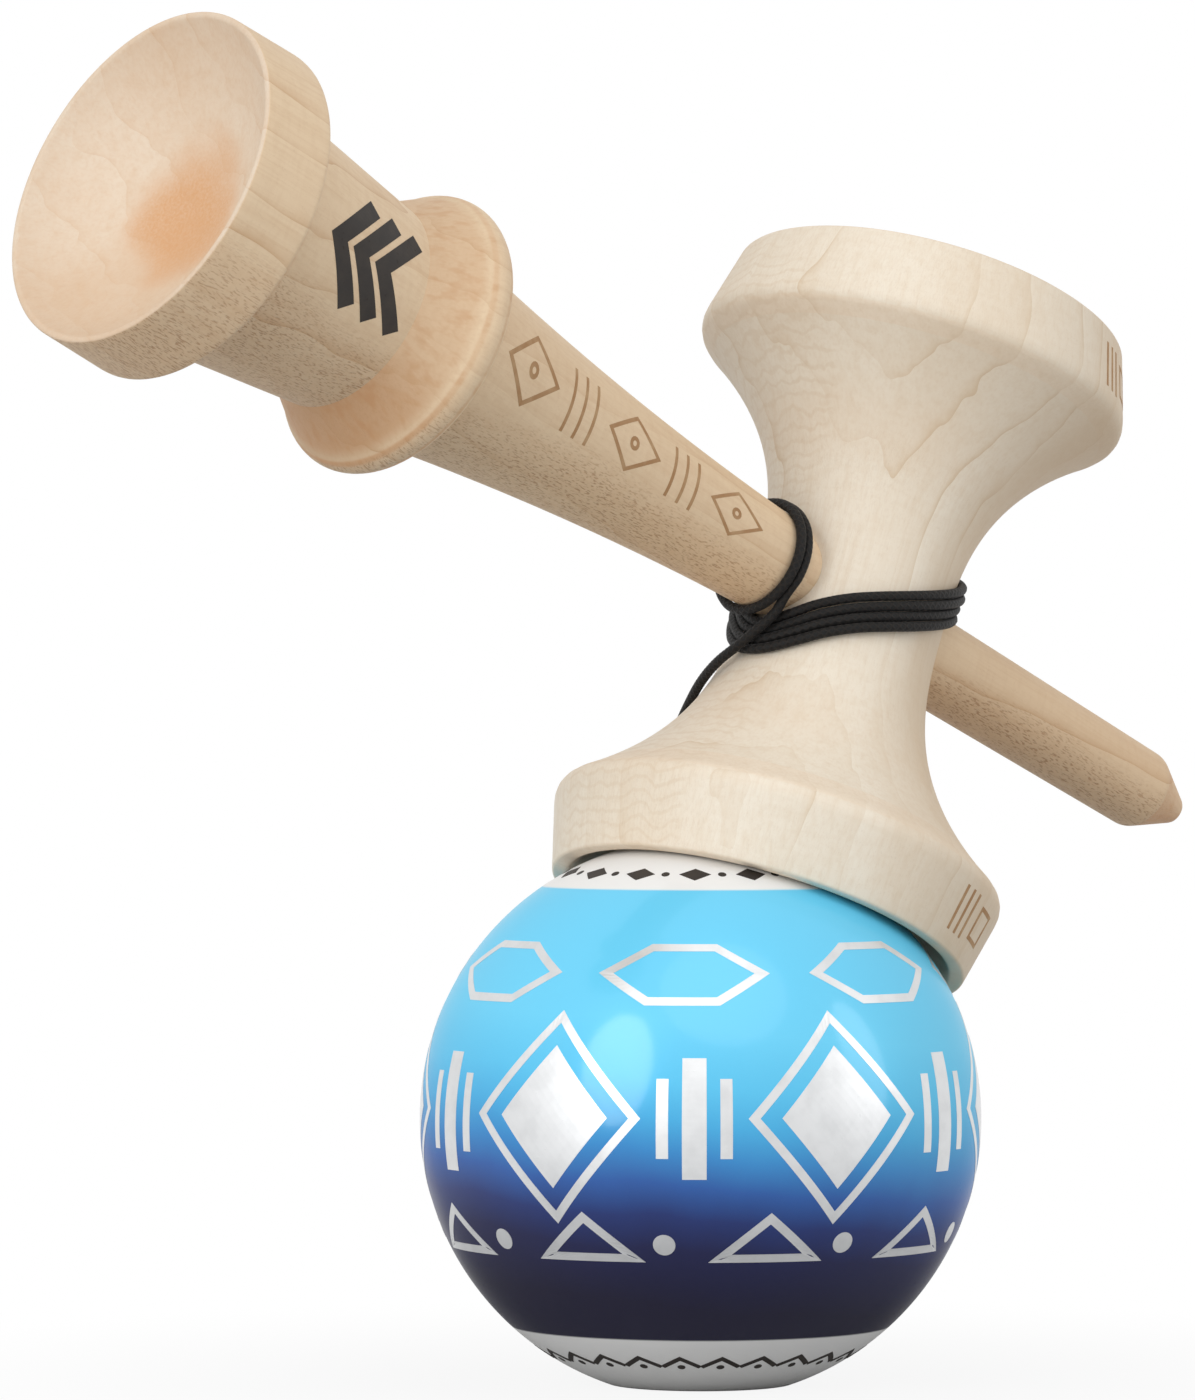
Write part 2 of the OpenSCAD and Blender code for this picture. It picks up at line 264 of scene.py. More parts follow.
def cylinder(radius: float, length: float, way: str) -> BMesh:
    """A cutter.

    Args:
        radius: Its radius.
        length: Its length, centred on the origin, or from the origin towards -Y for "Y".
        way: "X" or "Y", the axis that it runs along.

    Returns:
        The cutter's solid.
    """
    low = 0.0 if way == "Y" else -length / 2
    bm = lathe([(0.0, low), (radius, low), (radius, low + length), (0.0, low + length)], 48)
    turn = Matrix.Rotation(math.radians(90.0), 4, "Y" if way == "X" else "X")
    bmesh.ops.transform(bm, matrix=turn, verts=bm.verts)
    return bm


def to_object(bm: BMesh, name: str, place: Matrix | None = None) -> Piece:
    """Makes an object of a mesh in millimetres, with its place in its mesh.

    Args:
        bm: The mesh, which is freed.
        name: The object's name.
        place: Where it goes in the shared frame, in millimetres.

    Returns:
        The object, at the origin.
    """
    bmesh.ops.transform(bm, matrix=Matrix.Scale(MM, 4) @ (place or Matrix.Identity(4)), verts=bm.verts)
    mesh = bpy.data.meshes.new(name)
    bm.to_mesh(mesh)
    bm.free()
    made = bpy.data.objects.new(name, mesh)
    bpy.context.scene.collection.objects.link(made)
    return made


def cut(piece: Piece, cutters: Sequence[Piece]) -> None:
    """Cuts solids out of a piece and removes them.

    Args:
        piece: The piece, whose mesh is replaced.
        cutters: The solids.
    """
    for cutter in cutters:
        tool = piece.modifiers.new("cut", "BOOLEAN")
        tool.operation = "DIFFERENCE"
        tool.solver = "EXACT"
        tool.object = cutter
    settle(piece)
    for cutter in cutters:
        bpy.data.objects.remove(cutter)


def settle(piece: Piece) -> None:
    """Turns a piece and its modifiers into a plain mesh."""
    graph = bpy.context.evaluated_depsgraph_get()
    graph.update()
    mesh = bpy.data.meshes.new_from_object(piece.evaluated_get(graph))
    piece.modifiers.clear()
    piece.data = mesh


def smooth_by_angle(piece: Piece, angle: float = 32.0) -> None:
    """Shades a piece smooth and keeps its edges that are sharper than an angle in degrees."""
    bm = bmesh.new()
    bm.from_mesh(piece.data)
    limit = math.radians(angle)
    for face in bm.faces:
        face.smooth = True
    for edge in bm.edges:
        edge.smooth = len(edge.link_faces) == 2 and edge.calc_face_angle() < limit
    bm.to_mesh(piece.data)
    bm.free()


# Shader nodes


class Nodes:
    """A node tree with short ways to add and join nodes."""

    def __init__(self, tree: Tree) -> None:
        """Keeps the tree."""
        self.tree = tree

    def add(self, kind: str, inputs: dict | None = None, **settings: object) -> Node:
        """Adds a node.

        Args:
            kind: The node's type.
            inputs: Values or output sockets for its inputs, by name or number.
            settings: Its own settings.

        Returns:
            The node.
        """
        node = self.tree.nodes.new(kind)
        for key, value in settings.items():
            setattr(node, key, value)
        for key, value in (inputs or {}).items():
            self.feed(node, key, value)
        return node

    def feed(self, node: Node, key: str | int, value: object) -> None:
        """Gives one input of a node a value or another node's result."""
        if isinstance(value, Socket):
            self.tree.links.new(value, node.inputs[key])
        else:
            node.inputs[key].default_value = value

    def math(self, operation: str, *values: object) -> Socket:
        """A Math node's result, from numbers or sockets."""
        return self.add("ShaderNodeMath", dict(enumerate(values)), operation=operation).outputs[0]

    def times(self, a: object, b: object) -> Socket:
        """The product of two numbers or sockets."""
        return self.math("MULTIPLY", a, b)

    def plus(self, a: object, b: object) -> Socket:
        """The sum of two numbers or sockets."""
        return self.math("ADD", a, b)

    def minus(self, a: object, b: object) -> Socket:
        """The first number or socket less the second."""
        return self.math("SUBTRACT", a, b)

    def most(self, a: object, b: object) -> Socket:
        """The larger of two numbers or sockets."""
        return self.math("MAXIMUM", a, b)

    def reach(self, a: Socket, b: Socket) -> Socket:
        """How far a point is from an axis, from its two distances across it."""
        return self.math("SQRT", self.plus(self.times(a, a), self.times(b, b)))

    def in_mm(self, location: Sequence = (0.0,) * 3, rotation: Sequence = (0.0,) * 3) -> Socket:
        """Object coordinates in millimetres, turned and moved into a piece's own frame."""
        where = self.add("ShaderNodeTexCoord").outputs["Object"]
        inputs = {"Vector": where, "Scale": (1 / MM,) * 3, "Rotation": rotation, "Location": location}
        return self.add("ShaderNodeMapping", inputs).outputs[0]

    def span(self, value: Socket, low: float, high: float) -> Socket:
        """A smooth step from 0 at low to 1 at high."""
        node = self.add(
            "ShaderNodeMapRange",
            {"Value": value, "From Min": low, "From Max": high},
            interpolation_type="SMOOTHSTEP",
        )
        return node.outputs["Result"]

    def mix(self, share: object, a: object, b: object, blend: str = "MIX") -> Socket:
        """A blend of two colours."""
        node = self.add("ShaderNodeMix", {"Factor": share}, data_type="RGBA", blend_type=blend)
        for key, value in ((6, a), (7, b)):
            self.feed(node, key, value if isinstance(value, Socket) else (*value, 1.0))
        return node.outputs[2]

    def noise(self, vector: Socket, stretch: Sequence[float], detail: float = 2.0) -> Socket:
        """Noise over a vector that is stretched along its axes."""
        scaled = self.add("ShaderNodeVectorMath", {0: vector, 1: stretch}, operation="MULTIPLY").outputs[0]
        node = self.add("ShaderNodeTexNoise", {"Vector": scaled, "Scale": 1.0, "Detail": detail})
        return node.outputs["Fac"]


def group(name: str, inputs: dict[str, str], outputs: dict[str, str]) -> tuple[Nodes, Node, Node]:
    """Starts a shader node group.

    Args:
        name: The group's name.
        inputs: Socket types by input name.
        outputs: Socket types by output name.

    Returns:
        Its nodes, its input node and its output node.
    """
    tree = bpy.data.node_groups.new(name, "ShaderNodeTree")
    for way, sockets in (("INPUT", inputs), ("OUTPUT", outputs)):
        for socket, kind in sockets.items():
            tree.interface.new_socket(socket, in_out=way, socket_type=kind)
    nodes = Nodes(tree)
    return nodes, nodes.add("NodeGroupInput"), nodes.add("NodeGroupOutput")


FLOAT, COLOUR, VECTOR = "NodeSocketFloat", "NodeSocketColor", "NodeSocketVector"


def wood_group() -> Tree:
    """Turned pale hardwood with its grain along Z, in millimetres.

    Returns:
        The group, which puts out colour, roughness and height.
    """
    colours = ("Pale", "Ring", "End Grain", "Fleck", "Face")
    sizes = (
        "Pith X", "Pith Y", "Ring Width", "Fleck And Shade Share", "Slope Share", "Face From", "Far Shade Share",
        "Curl Share",
    )
    nodes, given, out = group(
        "turned_wood",
        {"Place": VECTOR, "End": FLOAT} | dict.fromkeys(colours, COLOUR) | dict.fromkeys(sizes, FLOAT),
        {"Colour": COLOUR, "Roughness": FLOAT, "Height": FLOAT},
    )
    value = given.outputs
    place, end = value["Place"], value["End"]
    apart = nodes.add("ShaderNodeSeparateXYZ", {0: place}).outputs

    # Growth rings about a pith that drifts, with fibres and streaks along the grain
    drift, sharpness = 13.0, 13.0
    drift_x = nodes.times(nodes.noise(place, (0.035, 0.035, 0.014)), drift)
    drift_y = nodes.times(nodes.noise(place, (0.031, 0.041, 0.017)), drift)
    across = nodes.plus(nodes.minus(apart["X"], value["Pith X"]), drift_x)
    along = nodes.plus(nodes.minus(apart["Y"], value["Pith Y"]), drift_y)
    wander = nodes.times(nodes.noise(place, (0.11, 0.11, 0.02), 3.0), 1.7)
    rings = nodes.math("DIVIDE", nodes.reach(across, along), value["Ring Width"])
    ring = nodes.math("FRACT", nodes.plus(rings, wander))
    uneven = nodes.span(nodes.noise(place, (0.08, 0.08, 0.035)), 0.40, 0.68)
    line = nodes.times(nodes.math("POWER", ring, sharpness), nodes.plus(nodes.times(uneven, 0.7), 0.08))
    fibre = nodes.noise(place, (2.8, 2.8, 0.12), 4.0)
    streak = nodes.span(nodes.noise(place, (0.9, 0.9, 0.03)), 0.45, 0.75)

    # Sides of the piece, from +X at 1 to -X at -1 with a wavering edge. Painted shade darkens the +X side,
    # the ken's underside, and the -X side, the sarado's side away from the key lamp
    radius = nodes.most(nodes.reach(apart["X"], apart["Y"]), 1.0)
    sway = nodes.times(nodes.minus(nodes.noise(place, (0.06, 0.06, 0.02)), 0.5), 1.6)
    around = nodes.plus(nodes.math("DIVIDE", apart["X"], radius), sway)
    low_side = nodes.span(around, 0.2, 0.9)
    far_side_shade = nodes.span(around, 0.35, -0.7)

    # Flecks where the side shows pores, a ripple, a curled strip and slow changes of tone
    pores = nodes.span(nodes.noise(place, (6.5, 6.5, 1.3), 1.0), 0.52, 0.68)
    dots = nodes.times(nodes.span(nodes.noise(place, (8.0, 8.0, 3.0), 1.0), 0.60, 0.74), 0.10)
    flecks = nodes.times(nodes.times(pores, low_side), value["Fleck And Shade Share"])
    flecks = nodes.times(nodes.most(flecks, dots), nodes.span(end, 0.62, 0.35))
    ripple = nodes.span(nodes.noise(place, (0.5, 0.5, 1.4), 3.0), 0.40, 0.70)
    bowed = nodes.times(nodes.noise(place, (0.36, 0.36, 0.05)), drift)
    waves = nodes.math("SINE", nodes.plus(nodes.times(apart["Z"], 4.4), bowed))
    strip = nodes.times(nodes.span(around, 0.8, 1.0), value["Curl Share"])
    curl = nodes.times(nodes.span(waves, 0.25, 1.0), strip)
    tone = nodes.span(nodes.noise(place, (0.04, 0.04, 0.015)), 0.38, 0.72)

    # Colour, from the pale wood or the cup's face through the darker rings to the flecks, with painted shade
    # in the Ring colour on the +X and -X sides
    inside = nodes.math("GREATER_THAN", nodes.math("ABSOLUTE", apart["Z"]), value["Face From"])
    faced = nodes.times(nodes.span(end, 0.45, 0.6), inside)
    faint = nodes.minus(1.0, nodes.times(faced, 0.55))
    # Painted shade: the +X side, which is the ken's underside, darkens towards the Ring colour
    low_side_shade = nodes.times(nodes.times(low_side, value["Fleck And Shade Share"]), 0.38)
    darker = [
        nodes.times(ring, 0.10),
        nodes.times(line, faint),
        nodes.times(tone, 0.24),
        nodes.times(streak, 0.14),
        nodes.times(nodes.span(fibre, 0.42, 0.72), 0.15),
        nodes.most(nodes.times(ripple, 0.10), curl),
        nodes.most(low_side_shade, nodes.times(far_side_shade, value["Far Shade Share"])),
    ]
    colour = nodes.mix(faced, value["Pale"], value["Face"])
    for share in darker:
        colour = nodes.mix(share, colour, value["Ring"])
    colour = nodes.mix(flecks, colour, value["Fleck"])

    # End grain on slopes across the grain, deepened on the +X side as painted shade, and stippled at the
    # bottom of a bowl
    speck = nodes.span(nodes.noise(place, (3.5, 3.5, 3.5), 3.0), 0.30, 0.70)
    stipple = nodes.times(nodes.plus(nodes.times(speck, 0.25), 0.75), nodes.span(radius, 14.0, 9.0))
    shifted = nodes.plus(end, nodes.times(nodes.noise(place, (0.12, 0.12, 0.12), 1.0), 0.09))
    sloped = nodes.times(nodes.span(end, 0.28, 0.46), nodes.span(end, 0.66, 0.54))
    sloped = nodes.times(sloped, nodes.minus(1.0, nodes.times(inside, 0.9)))
    # Painted shade: slopes on the +X side, the ken's underside, take more of the end grain colour
    banded = nodes.plus(nodes.times(low_side, 0.6), nodes.plus(nodes.times(streak, 0.4), 0.4))
    sloped = nodes.times(nodes.times(sloped, banded), value["Slope Share"])
    ended = nodes.times(nodes.span(shifted, 0.955, 1.035), nodes.times(stipple, inside))
    colour = nodes.mix(nodes.most(sloped, ended), colour, value["End Grain"])
    sunk = nodes.plus(flecks, nodes.times(line, 0.4))
    nodes.feed(out, "Colour", colour)
    nodes.feed(out, "Roughness", nodes.plus(nodes.times(fibre, 0.16), 0.50))
    nodes.feed(out, "Height", nodes.minus(nodes.times(fibre, 0.5), sunk))
    return nodes.tree


def speckle_group() -> Tree:
    """Dust nibs and brushed unevenness, in millimetres.

    Returns:
        The group, which puts out a roughness change and a height.
    """
    inputs, outputs = {"Place": VECTOR, "Amount": FLOAT}, {"Rough": FLOAT, "Height": FLOAT}
    nodes, given, out = group("fine_speckle", inputs, outputs)
    place = given.outputs["Place"]
    nibs = nodes.span(nodes.noise(place, (1.9, 1.9, 1.9), 2.0), 0.66, 0.76)
    wave = nodes.noise(place, (0.16, 0.16, 0.16), 1.0)
    rough = nodes.times(nodes.plus(nibs, wave), given.outputs["Amount"])
    nodes.feed(out, "Rough", rough)
    nodes.feed(out, "Height", nodes.plus(nodes.times(nibs, 0.5), wave))
    return nodes.tree


# Finishes


@dataclass(frozen=True)
class Finish:
    """A finish that builds its own material."""

    name: str

    def start(self) -> tuple[Material, Nodes, Node]:
        """Starts the material.

        Returns:
            The material, its nodes and its Principled BSDF.
        """
        material = bpy.data.materials.new(self.name)
        material.use_nodes = True
        nodes = Nodes(material.node_tree)
        return material, nodes, material.node_tree.nodes["Principled BSDF"]

    @staticmethod
    def bump(nodes: Nodes, shader: Node, height: Socket, depth: float) -> None:
        """Gives the shader a bump of a depth in millimetres."""
        node = nodes.add("ShaderNodeBump", {"Height": height, "Distance": depth * MM, "Strength": 1.0})
        nodes.feed(shader, "Normal", node.outputs["Normal"])


@dataclass(frozen=True)
class WoodFinish(Finish):
    """Sanded bare wood whose grain runs along one axis of its piece."""

    place: Matrix = Matrix.Identity(4)
    pale: Colour = (0.86, 0.78, 0.655)
    ring: Colour = (0.65, 0.48, 0.305)
    end_grain: Colour = (0.74, 0.54, 0.36)
    face: Colour = (0.86, 0.75, 0.61)
    fleck: Colour = (0.40, 0.25, 0.14)
    pith: Point = (34.0, 22.0)
    ring_width: float = 6.5
    # Sets the flecks and also the painted shade on the +X side
    fleck_and_shade_share: float = 0.08
    slope_share: float = 0.12
    face_from: float = 26.0
    # Share of painted shade on the -X side
    far_shade_share: float = 0.62
    curl_share: float = 0.0
    depth: float = 0.05

    def build(self, wood: Tree) -> Material:
        """Builds the material.

        Args:
            wood: The wood group.

        Returns:
            The material.
        """
        material, nodes, shader = self.start()
        back = self.place.inverted()
        grain = self.place.to_3x3() @ Vector((0.0, 0.0, 1.0))
        normal = nodes.add("ShaderNodeTexCoord").outputs["Normal"]
        facing = nodes.add("ShaderNodeVectorMath", {0: normal, 1: grain}, operation="DOT_PRODUCT")
        made = nodes.add(
            "ShaderNodeGroup",
            {
                "Place": nodes.in_mm(back.to_translation(), back.to_euler("XYZ")),
                "End": nodes.math("ABSOLUTE", facing.outputs["Value"]),
                "Pale": (*self.pale, 1.0), "Ring": (*self.ring, 1.0), "End Grain": (*self.end_grain, 1.0),
                "Fleck": (*self.fleck, 1.0), "Face": (*self.face, 1.0),
                "Pith X": self.pith[0], "Pith Y": self.pith[1], "Ring Width": self.ring_width,
                "Fleck And Shade Share": self.fleck_and_shade_share, "Slope Share": self.slope_share,
                "Face From": self.face_from, "Far Shade Share": self.far_shade_share, "Curl Share": self.curl_share,
            },
            node_tree=wood,
        )
        nodes.feed(shader, "Base Color", made.outputs["Colour"])
        nodes.feed(shader, "Roughness", made.outputs["Roughness"])
        self.bump(nodes, shader, made.outputs["Height"], self.depth)
        return material


@dataclass(frozen=True)
class PaintFinish(Finish):
    """Pearl gloss paint, light above and dark below, with white bands at both poles."""

    centre: float = 28.814
    top_edge: float = 25.2
    low_edge: float = -22.5
    white: Colour = (0.84, 0.84, 0.83)
    stops: tuple[tuple[float, Colour], ...] = (
        (-19.0, (0.009, 0.008, 0.034)),
        (-13.0, (0.011, 0.014, 0.075)),
        (-9.5, (0.014, 0.034, 0.17)),
        (-6.0, (0.022, 0.11, 0.40)),
        (-2.5, (0.032, 0.26, 0.62)),
        (1.0, (0.058, 0.43, 0.78)),
        (5.0, (0.10, 0.56, 0.88)),
        (11.0, (0.145, 0.64, 0.93)),
    )
    fade_lean: float = 0.09
    bare: Colour = (0.60, 0.43, 0.27)
    bare_r: float = 8.3
    bare_top: float = 20.0
    band_edge: float = 0.12
    speckle_share: float = 0.10
    pearl: float = 0.06
    pearl_span: Point = (-8.0, 6.0)
    specular: float = 0.05
    rough: float = 0.30
    edge_gloss: float = 0.15
    facing_gloss: float = 0.6
    coat_ior: float = 1.5
    coat_rough: float = 0.11
    depth: float = 0.012

    def build(self, speckle: Tree) -> Material:
        """Builds the material.

        Args:
            speckle: The speckle group.

        Returns:
            The material.
        """
        material, nodes, shader = self.start()
        place = nodes.in_mm((0.0, 0.0, -self.centre))
        apart = nodes.add("ShaderNodeSeparateXYZ", {0: place})
        height = apart.outputs["Z"]
        leaned = nodes.plus(height, nodes.times(apart.outputs["X"], self.fade_lean))
        cloud = nodes.noise(place, (0.07, 0.07, 0.05), 3.0)
        mist = nodes.times(nodes.minus(cloud, 0.5), 3.0)
        low, high = self.stops[0][0], self.stops[-1][0]
        inputs = {"Value": nodes.plus(leaned, mist), "From Min": low, "From Max": high}
        share = nodes.add("ShaderNodeMapRange", inputs)
        ramp = nodes.add("ShaderNodeValToRGB", {"Fac": share.outputs["Result"]})
        elements = ramp.color_ramp.elements
        while len(elements) < len(self.stops):
            elements.new(0.5)
        for element, (z, colour) in zip(elements, self.stops):
            element.position = (z - low) / (high - low)
            element.color = (*colour, 1.0)
        edge = self.band_edge
        top = nodes.span(height, self.top_edge - edge, self.top_edge + edge)
        foot = nodes.span(height, self.low_edge + edge, self.low_edge - edge)
        banded = nodes.most(top, foot)
        colour = nodes.mix(banded, ramp.outputs["Color"], self.white)
        off_axis = nodes.reach(apart.outputs["X"], apart.outputs["Y"])
        within = nodes.math("LESS_THAN", off_axis, self.bare_r)
        in_hole = nodes.times(within, nodes.math("LESS_THAN", height, self.bare_top))
        colour = nodes.mix(in_hole, colour, self.bare)
        nodes.feed(shader, "Base Color", colour)
        inputs = {"Place": place, "Amount": self.speckle_share}
        made = nodes.add("ShaderNodeGroup", inputs, node_tree=speckle)
        light = nodes.times(nodes.span(height, *self.pearl_span), self.pearl)
        pearl = nodes.times(nodes.minus(1.0, banded), light)
        nodes.feed(shader, "Metallic", pearl)
        nodes.feed(shader, "Specular IOR Level", self.specular)
        nodes.feed(shader, "Roughness", nodes.plus(made.outputs["Rough"], self.rough))
        edge_on = nodes.add("ShaderNodeLayerWeight", {"Blend": 0.5}).outputs["Facing"]
        facing = nodes.span(edge_on, 0.75, 0.25)
        gloss = nodes.plus(nodes.times(facing, self.facing_gloss), self.edge_gloss)
        painted = nodes.minus(1.0, in_hole)
        nodes.feed(shader, "Coat Weight", nodes.times(gloss, painted))
        nodes.feed(shader, "Coat IOR", self.coat_ior)
        nodes.feed(shader, "Coat Roughness", self.coat_rough)
        self.bump(nodes, shader, made.outputs["Height"], self.depth)
        return material


@dataclass(frozen=True)
class FilmFinish(Finish):
    """A thin printed film: foil, ink or a scorched line."""

    colour: Colour = (0.7, 0.7, 0.7)
    dark: Colour = (0.5, 0.5, 0.5)
    metal: float = 0.0
    rough: float = 0.4
    coat: float = 0.0
    coat_rough: float = 0.03
    speckle_share: float = 0.16
    depth: float = 0.01

    def build(self, speckle: Tree) -> Material:
        """Builds the material.

        Args:
            speckle: The speckle group.

        Returns:
            The material.
        """
        material, nodes, shader = self.start()
        place = nodes.in_mm()
        inputs = {"Place": place, "Amount": self.speckle_share}
        made = nodes.add("ShaderNodeGroup", inputs, node_tree=speckle)
        uneven = nodes.span(nodes.noise(place, (0.5, 0.5, 0.5), 4.0), 0.35, 0.75)
        nodes.feed(shader, "Base Color", nodes.mix(uneven, self.colour, self.dark))
        nodes.feed(shader, "Roughness", nodes.plus(made.outputs["Rough"], self.rough))
        nodes.feed(shader, "Metallic", self.metal)
        nodes.feed(shader, "Coat Weight", self.coat)
        nodes.feed(shader, "Coat Roughness", self.coat_rough)
        self.bump(nodes, shader, made.outputs["Height"], self.depth)
        return material


@dataclass(frozen=True)
class CordFinish(Finish):
    """Black braided cord, from a UV map that runs around it and along it in millimetres."""

    dark: Colour = (0.004, 0.004, 0.004)
    lit: Colour = (0.017, 0.012, 0.009)
    strand: float = 0.45
    strands: float = 4.0
    rough: float = 0.5
    specular: float = 0.25
    sheen: float = 0.05
    depth: float = 0.05

    def build(self) -> Material:
        """Builds the material.

        Returns:
            The material.
        """
        material, nodes, shader = self.start()
        where = nodes.add("ShaderNodeTexCoord")
        apart = nodes.add("ShaderNodeSeparateXYZ", {0: where.outputs["UV"]})
        around = nodes.times(apart.outputs["X"], self.strands)
        along = nodes.math("DIVIDE", apart.outputs["Y"], 2.0 * self.strand)
        right = nodes.math("SINE", nodes.times(nodes.plus(around, along), 2 * math.pi))
        left = nodes.math("SINE", nodes.times(nodes.minus(around, along), 2 * math.pi))
        weave = nodes.span(nodes.most(right, left), 0.1, 1.0)
        fuzz = nodes.noise(where.outputs["Object"], (9000.0, 9000.0, 9000.0), 2.0)
        # Painted highlight on the weave's crests and painted shade in its grooves, flecked by fine specks
        colour = nodes.mix(nodes.times(weave, fuzz), self.dark, self.lit)
        nodes.feed(shader, "Base Color", colour)
        nodes.feed(shader, "Roughness", nodes.plus(nodes.times(fuzz, 0.25), self.rough))
        nodes.feed(shader, "Specular IOR Level", self.specular)
        nodes.feed(shader, "Sheen Weight", self.sheen)
        self.bump(nodes, shader, nodes.plus(weave, nodes.times(fuzz, 0.4)), self.depth)
        return material


# Films laid on a surface


def film(patches: Sequence[Grid], lay: Lay, proud: float) -> BMesh:
    """Lays flat grids of points on a surface as a thin film.

    Args:
        patches: Grids of points in millimetres, row by row.
        lay: The surface, from two places on it and a height above it to a point.
        proud: How far the film stands above the surface.

    Returns:
        A closed thin solid that reaches a little into the surface.
    """
    bm = bmesh.new()
    for grid in patches:
        layers = []
        for height in (proud, -proud):
            layers.append([[bm.verts.new(lay(u, v, height)) for u, v in row] for row in grid])
        rows, columns = len(grid), len(grid[0])
        for layer in layers:
            for i in range(rows - 1):
                for j in range(columns - 1):
                    bm.faces.new((layer[i][j], layer[i + 1][j], layer[i + 1][j + 1], layer[i][j + 1]))
        rim = [(0, j) for j in range(columns)] + [(i, columns - 1) for i in range(1, rows)]
        rim += [(rows - 1, j) for j in range(columns - 2, -1, -1)] + [(i, 0) for i in range(rows - 2, 0, -1)]
        for a, b in zip(rim, rim[1:] + rim[:1]):
            top, foot = layers
            bm.faces.new((top[a[0]][a[1]], top[b[0]][b[1]], foot[b[0]][b[1]], foot[a[0]][a[1]]))
    bmesh.ops.remove_doubles(bm, verts=bm.verts, dist=1e-5)
    bmesh.ops.recalc_face_normals(bm, faces=bm.faces)
    return bm


def ribbon(points: Sequence[Point], width: float, closed: bool = False, step: float = 0.7) -> list:
    """A flat line of even width along points, as a grid of two columns.

    Args:
        points: Corners of the line.
        width: Its width.
        closed: True where the line joins its own start.
        step: The longest run between its points.

    Returns:
        The grid, row by row.
    """
    loop = list(points) + ([points[0]] if closed else [])
    corners = [np.array(p) for p in loop]
    sides = []
    for i, corner in enumerate(corners):
        ways = []
        if i > 0:
            ways.append(corner - corners[i - 1])
        elif closed:
            ways.append(corner - corners[-2])
        if i < len(corners) - 1:
            ways.append(corners[i + 1] - corner)
        elif closed:
            ways.append(corners[1] - corner)
        ways = [w / np.linalg.norm(w) for w in ways]
        normals = [np.array((-w[1], w[0])) for w in ways]
        middle = sum(normals)
        middle = middle / np.linalg.norm(middle)
        sides.append(middle * (width / 2) / max(0.35, float(middle @ normals[0])))
    rows = []
    for i in range(len(corners) - 1):
        count = max(1, math.ceil(np.linalg.norm(corners[i + 1] - corners[i]) / step))
        for j in range(count + (i == len(corners) - 2)):
            u = j / count
            middle = corners[i] * (1 - u) + corners[i + 1] * u
            side = sides[i] * (1 - u) + sides[i + 1] * u
            rows.append([tuple(middle - side), tuple(middle + side)])
    return rows


def ellipse(width: float, height: float, count: int = 40, centre: Point = (0.0, 0.0)) -> list:
    """Points around an ellipse."""
    turns = [2 * math.pi * i / count for i in range(count)]
    return [(centre[0] + width / 2 * math.cos(a), centre[1] + height / 2 * math.sin(a)) for a in turns]


def filled(corners: Sequence[Point], steps: int) -> list:
    """A filled four-sided patch as a grid.

    Args:
        corners: Its four corners in order.
        steps: Steps along each side.

    Returns:
        The grid, row by row.
    """
    a, b, c, d = (np.array(p) for p in corners)
    rows = []
    for i in range(steps + 1):
        u = i / steps
        left, right = a * (1 - u) + d * u, b * (1 - u) + c * u
        rows.append([tuple(left * (1 - j / steps) + right * j / steps) for j in range(steps + 1)])
    return rows


def disc(size: float, centre: Point, rings: int = 5, count: int = 36) -> list:
    """A filled disc as a closed grid from its middle to its edge."""
    rows = []
    for i in range(count + 1):
        a = 2 * math.pi * i / count
        radii = [size / 2 * j / rings for j in range(rings + 1)]
        rows.append([(centre[0] + r * math.cos(a), centre[1] + r * math.sin(a)) for r in radii])
    return rows


def ring_of_copies() -> Tree:
    """Geometry nodes that set copies of a piece in a ring about Z.

    Returns:
        The tree, with the inputs Count, Start and Material.
    """
    tree = bpy.data.node_groups.new("ring_of_copies", "GeometryNodeTree")
    face = tree.interface
    face.new_socket("Geometry", in_out="INPUT", socket_type="NodeSocketGeometry")
    face.new_socket("Count", in_out="INPUT", socket_type="NodeSocketInt")
    face.new_socket("Start", in_out="INPUT", socket_type="NodeSocketFloat")
    face.new_socket("Material", in_out="INPUT", socket_type="NodeSocketMaterial")
    face.new_socket("Geometry", in_out="OUTPUT", socket_type="NodeSocketGeometry")
    nodes = Nodes(tree)
    given = nodes.add("NodeGroupInput")
    points = nodes.add("GeometryNodePoints", {"Count": given.outputs["Count"]})
    turn = nodes.math("DIVIDE", 2 * math.pi, given.outputs["Count"])
    index = nodes.add("GeometryNodeInputIndex").outputs[0]
    angle = nodes.plus(nodes.times(turn, index), given.outputs["Start"])
    heading = nodes.add("ShaderNodeCombineXYZ", {"Z": angle})
    copies = nodes.add(
        "GeometryNodeInstanceOnPoints",
        {"Points": points.outputs[0], "Instance": given.outputs["Geometry"], "Rotation": heading.outputs[0]},
    )
    real = nodes.add("GeometryNodeRealizeInstances", {0: copies.outputs[0]})
    look = given.outputs["Material"]
    dressed = nodes.add("GeometryNodeSetMaterial", {0: real.outputs[0], "Material": look})
    out = nodes.add("NodeGroupOutput")
    tree.links.new(dressed.outputs[0], out.inputs[0])
    return tree


def set_in_ring(piece: Piece, tree: Tree, count: int, start: float, look: Material) -> None:
    """Repeats a piece about Z and leaves a plain mesh.

    Args:
        piece: The piece.
        tree: The ring tree.
        count: Number of copies.
        start: Turn of the first in degrees.
        look: Its material.
    """
    maker = piece.modifiers.new("ring", "NODES")
    maker.node_group = tree
    keys = {item.name: item.identifier for item in tree.interface.items_tree if item.in_out == "INPUT"}
    maker[keys["Count"]] = count
    maker[keys["Start"]] = math.radians(start)
    maker[keys["Material"]] = look
    settle(piece)


# The pieces


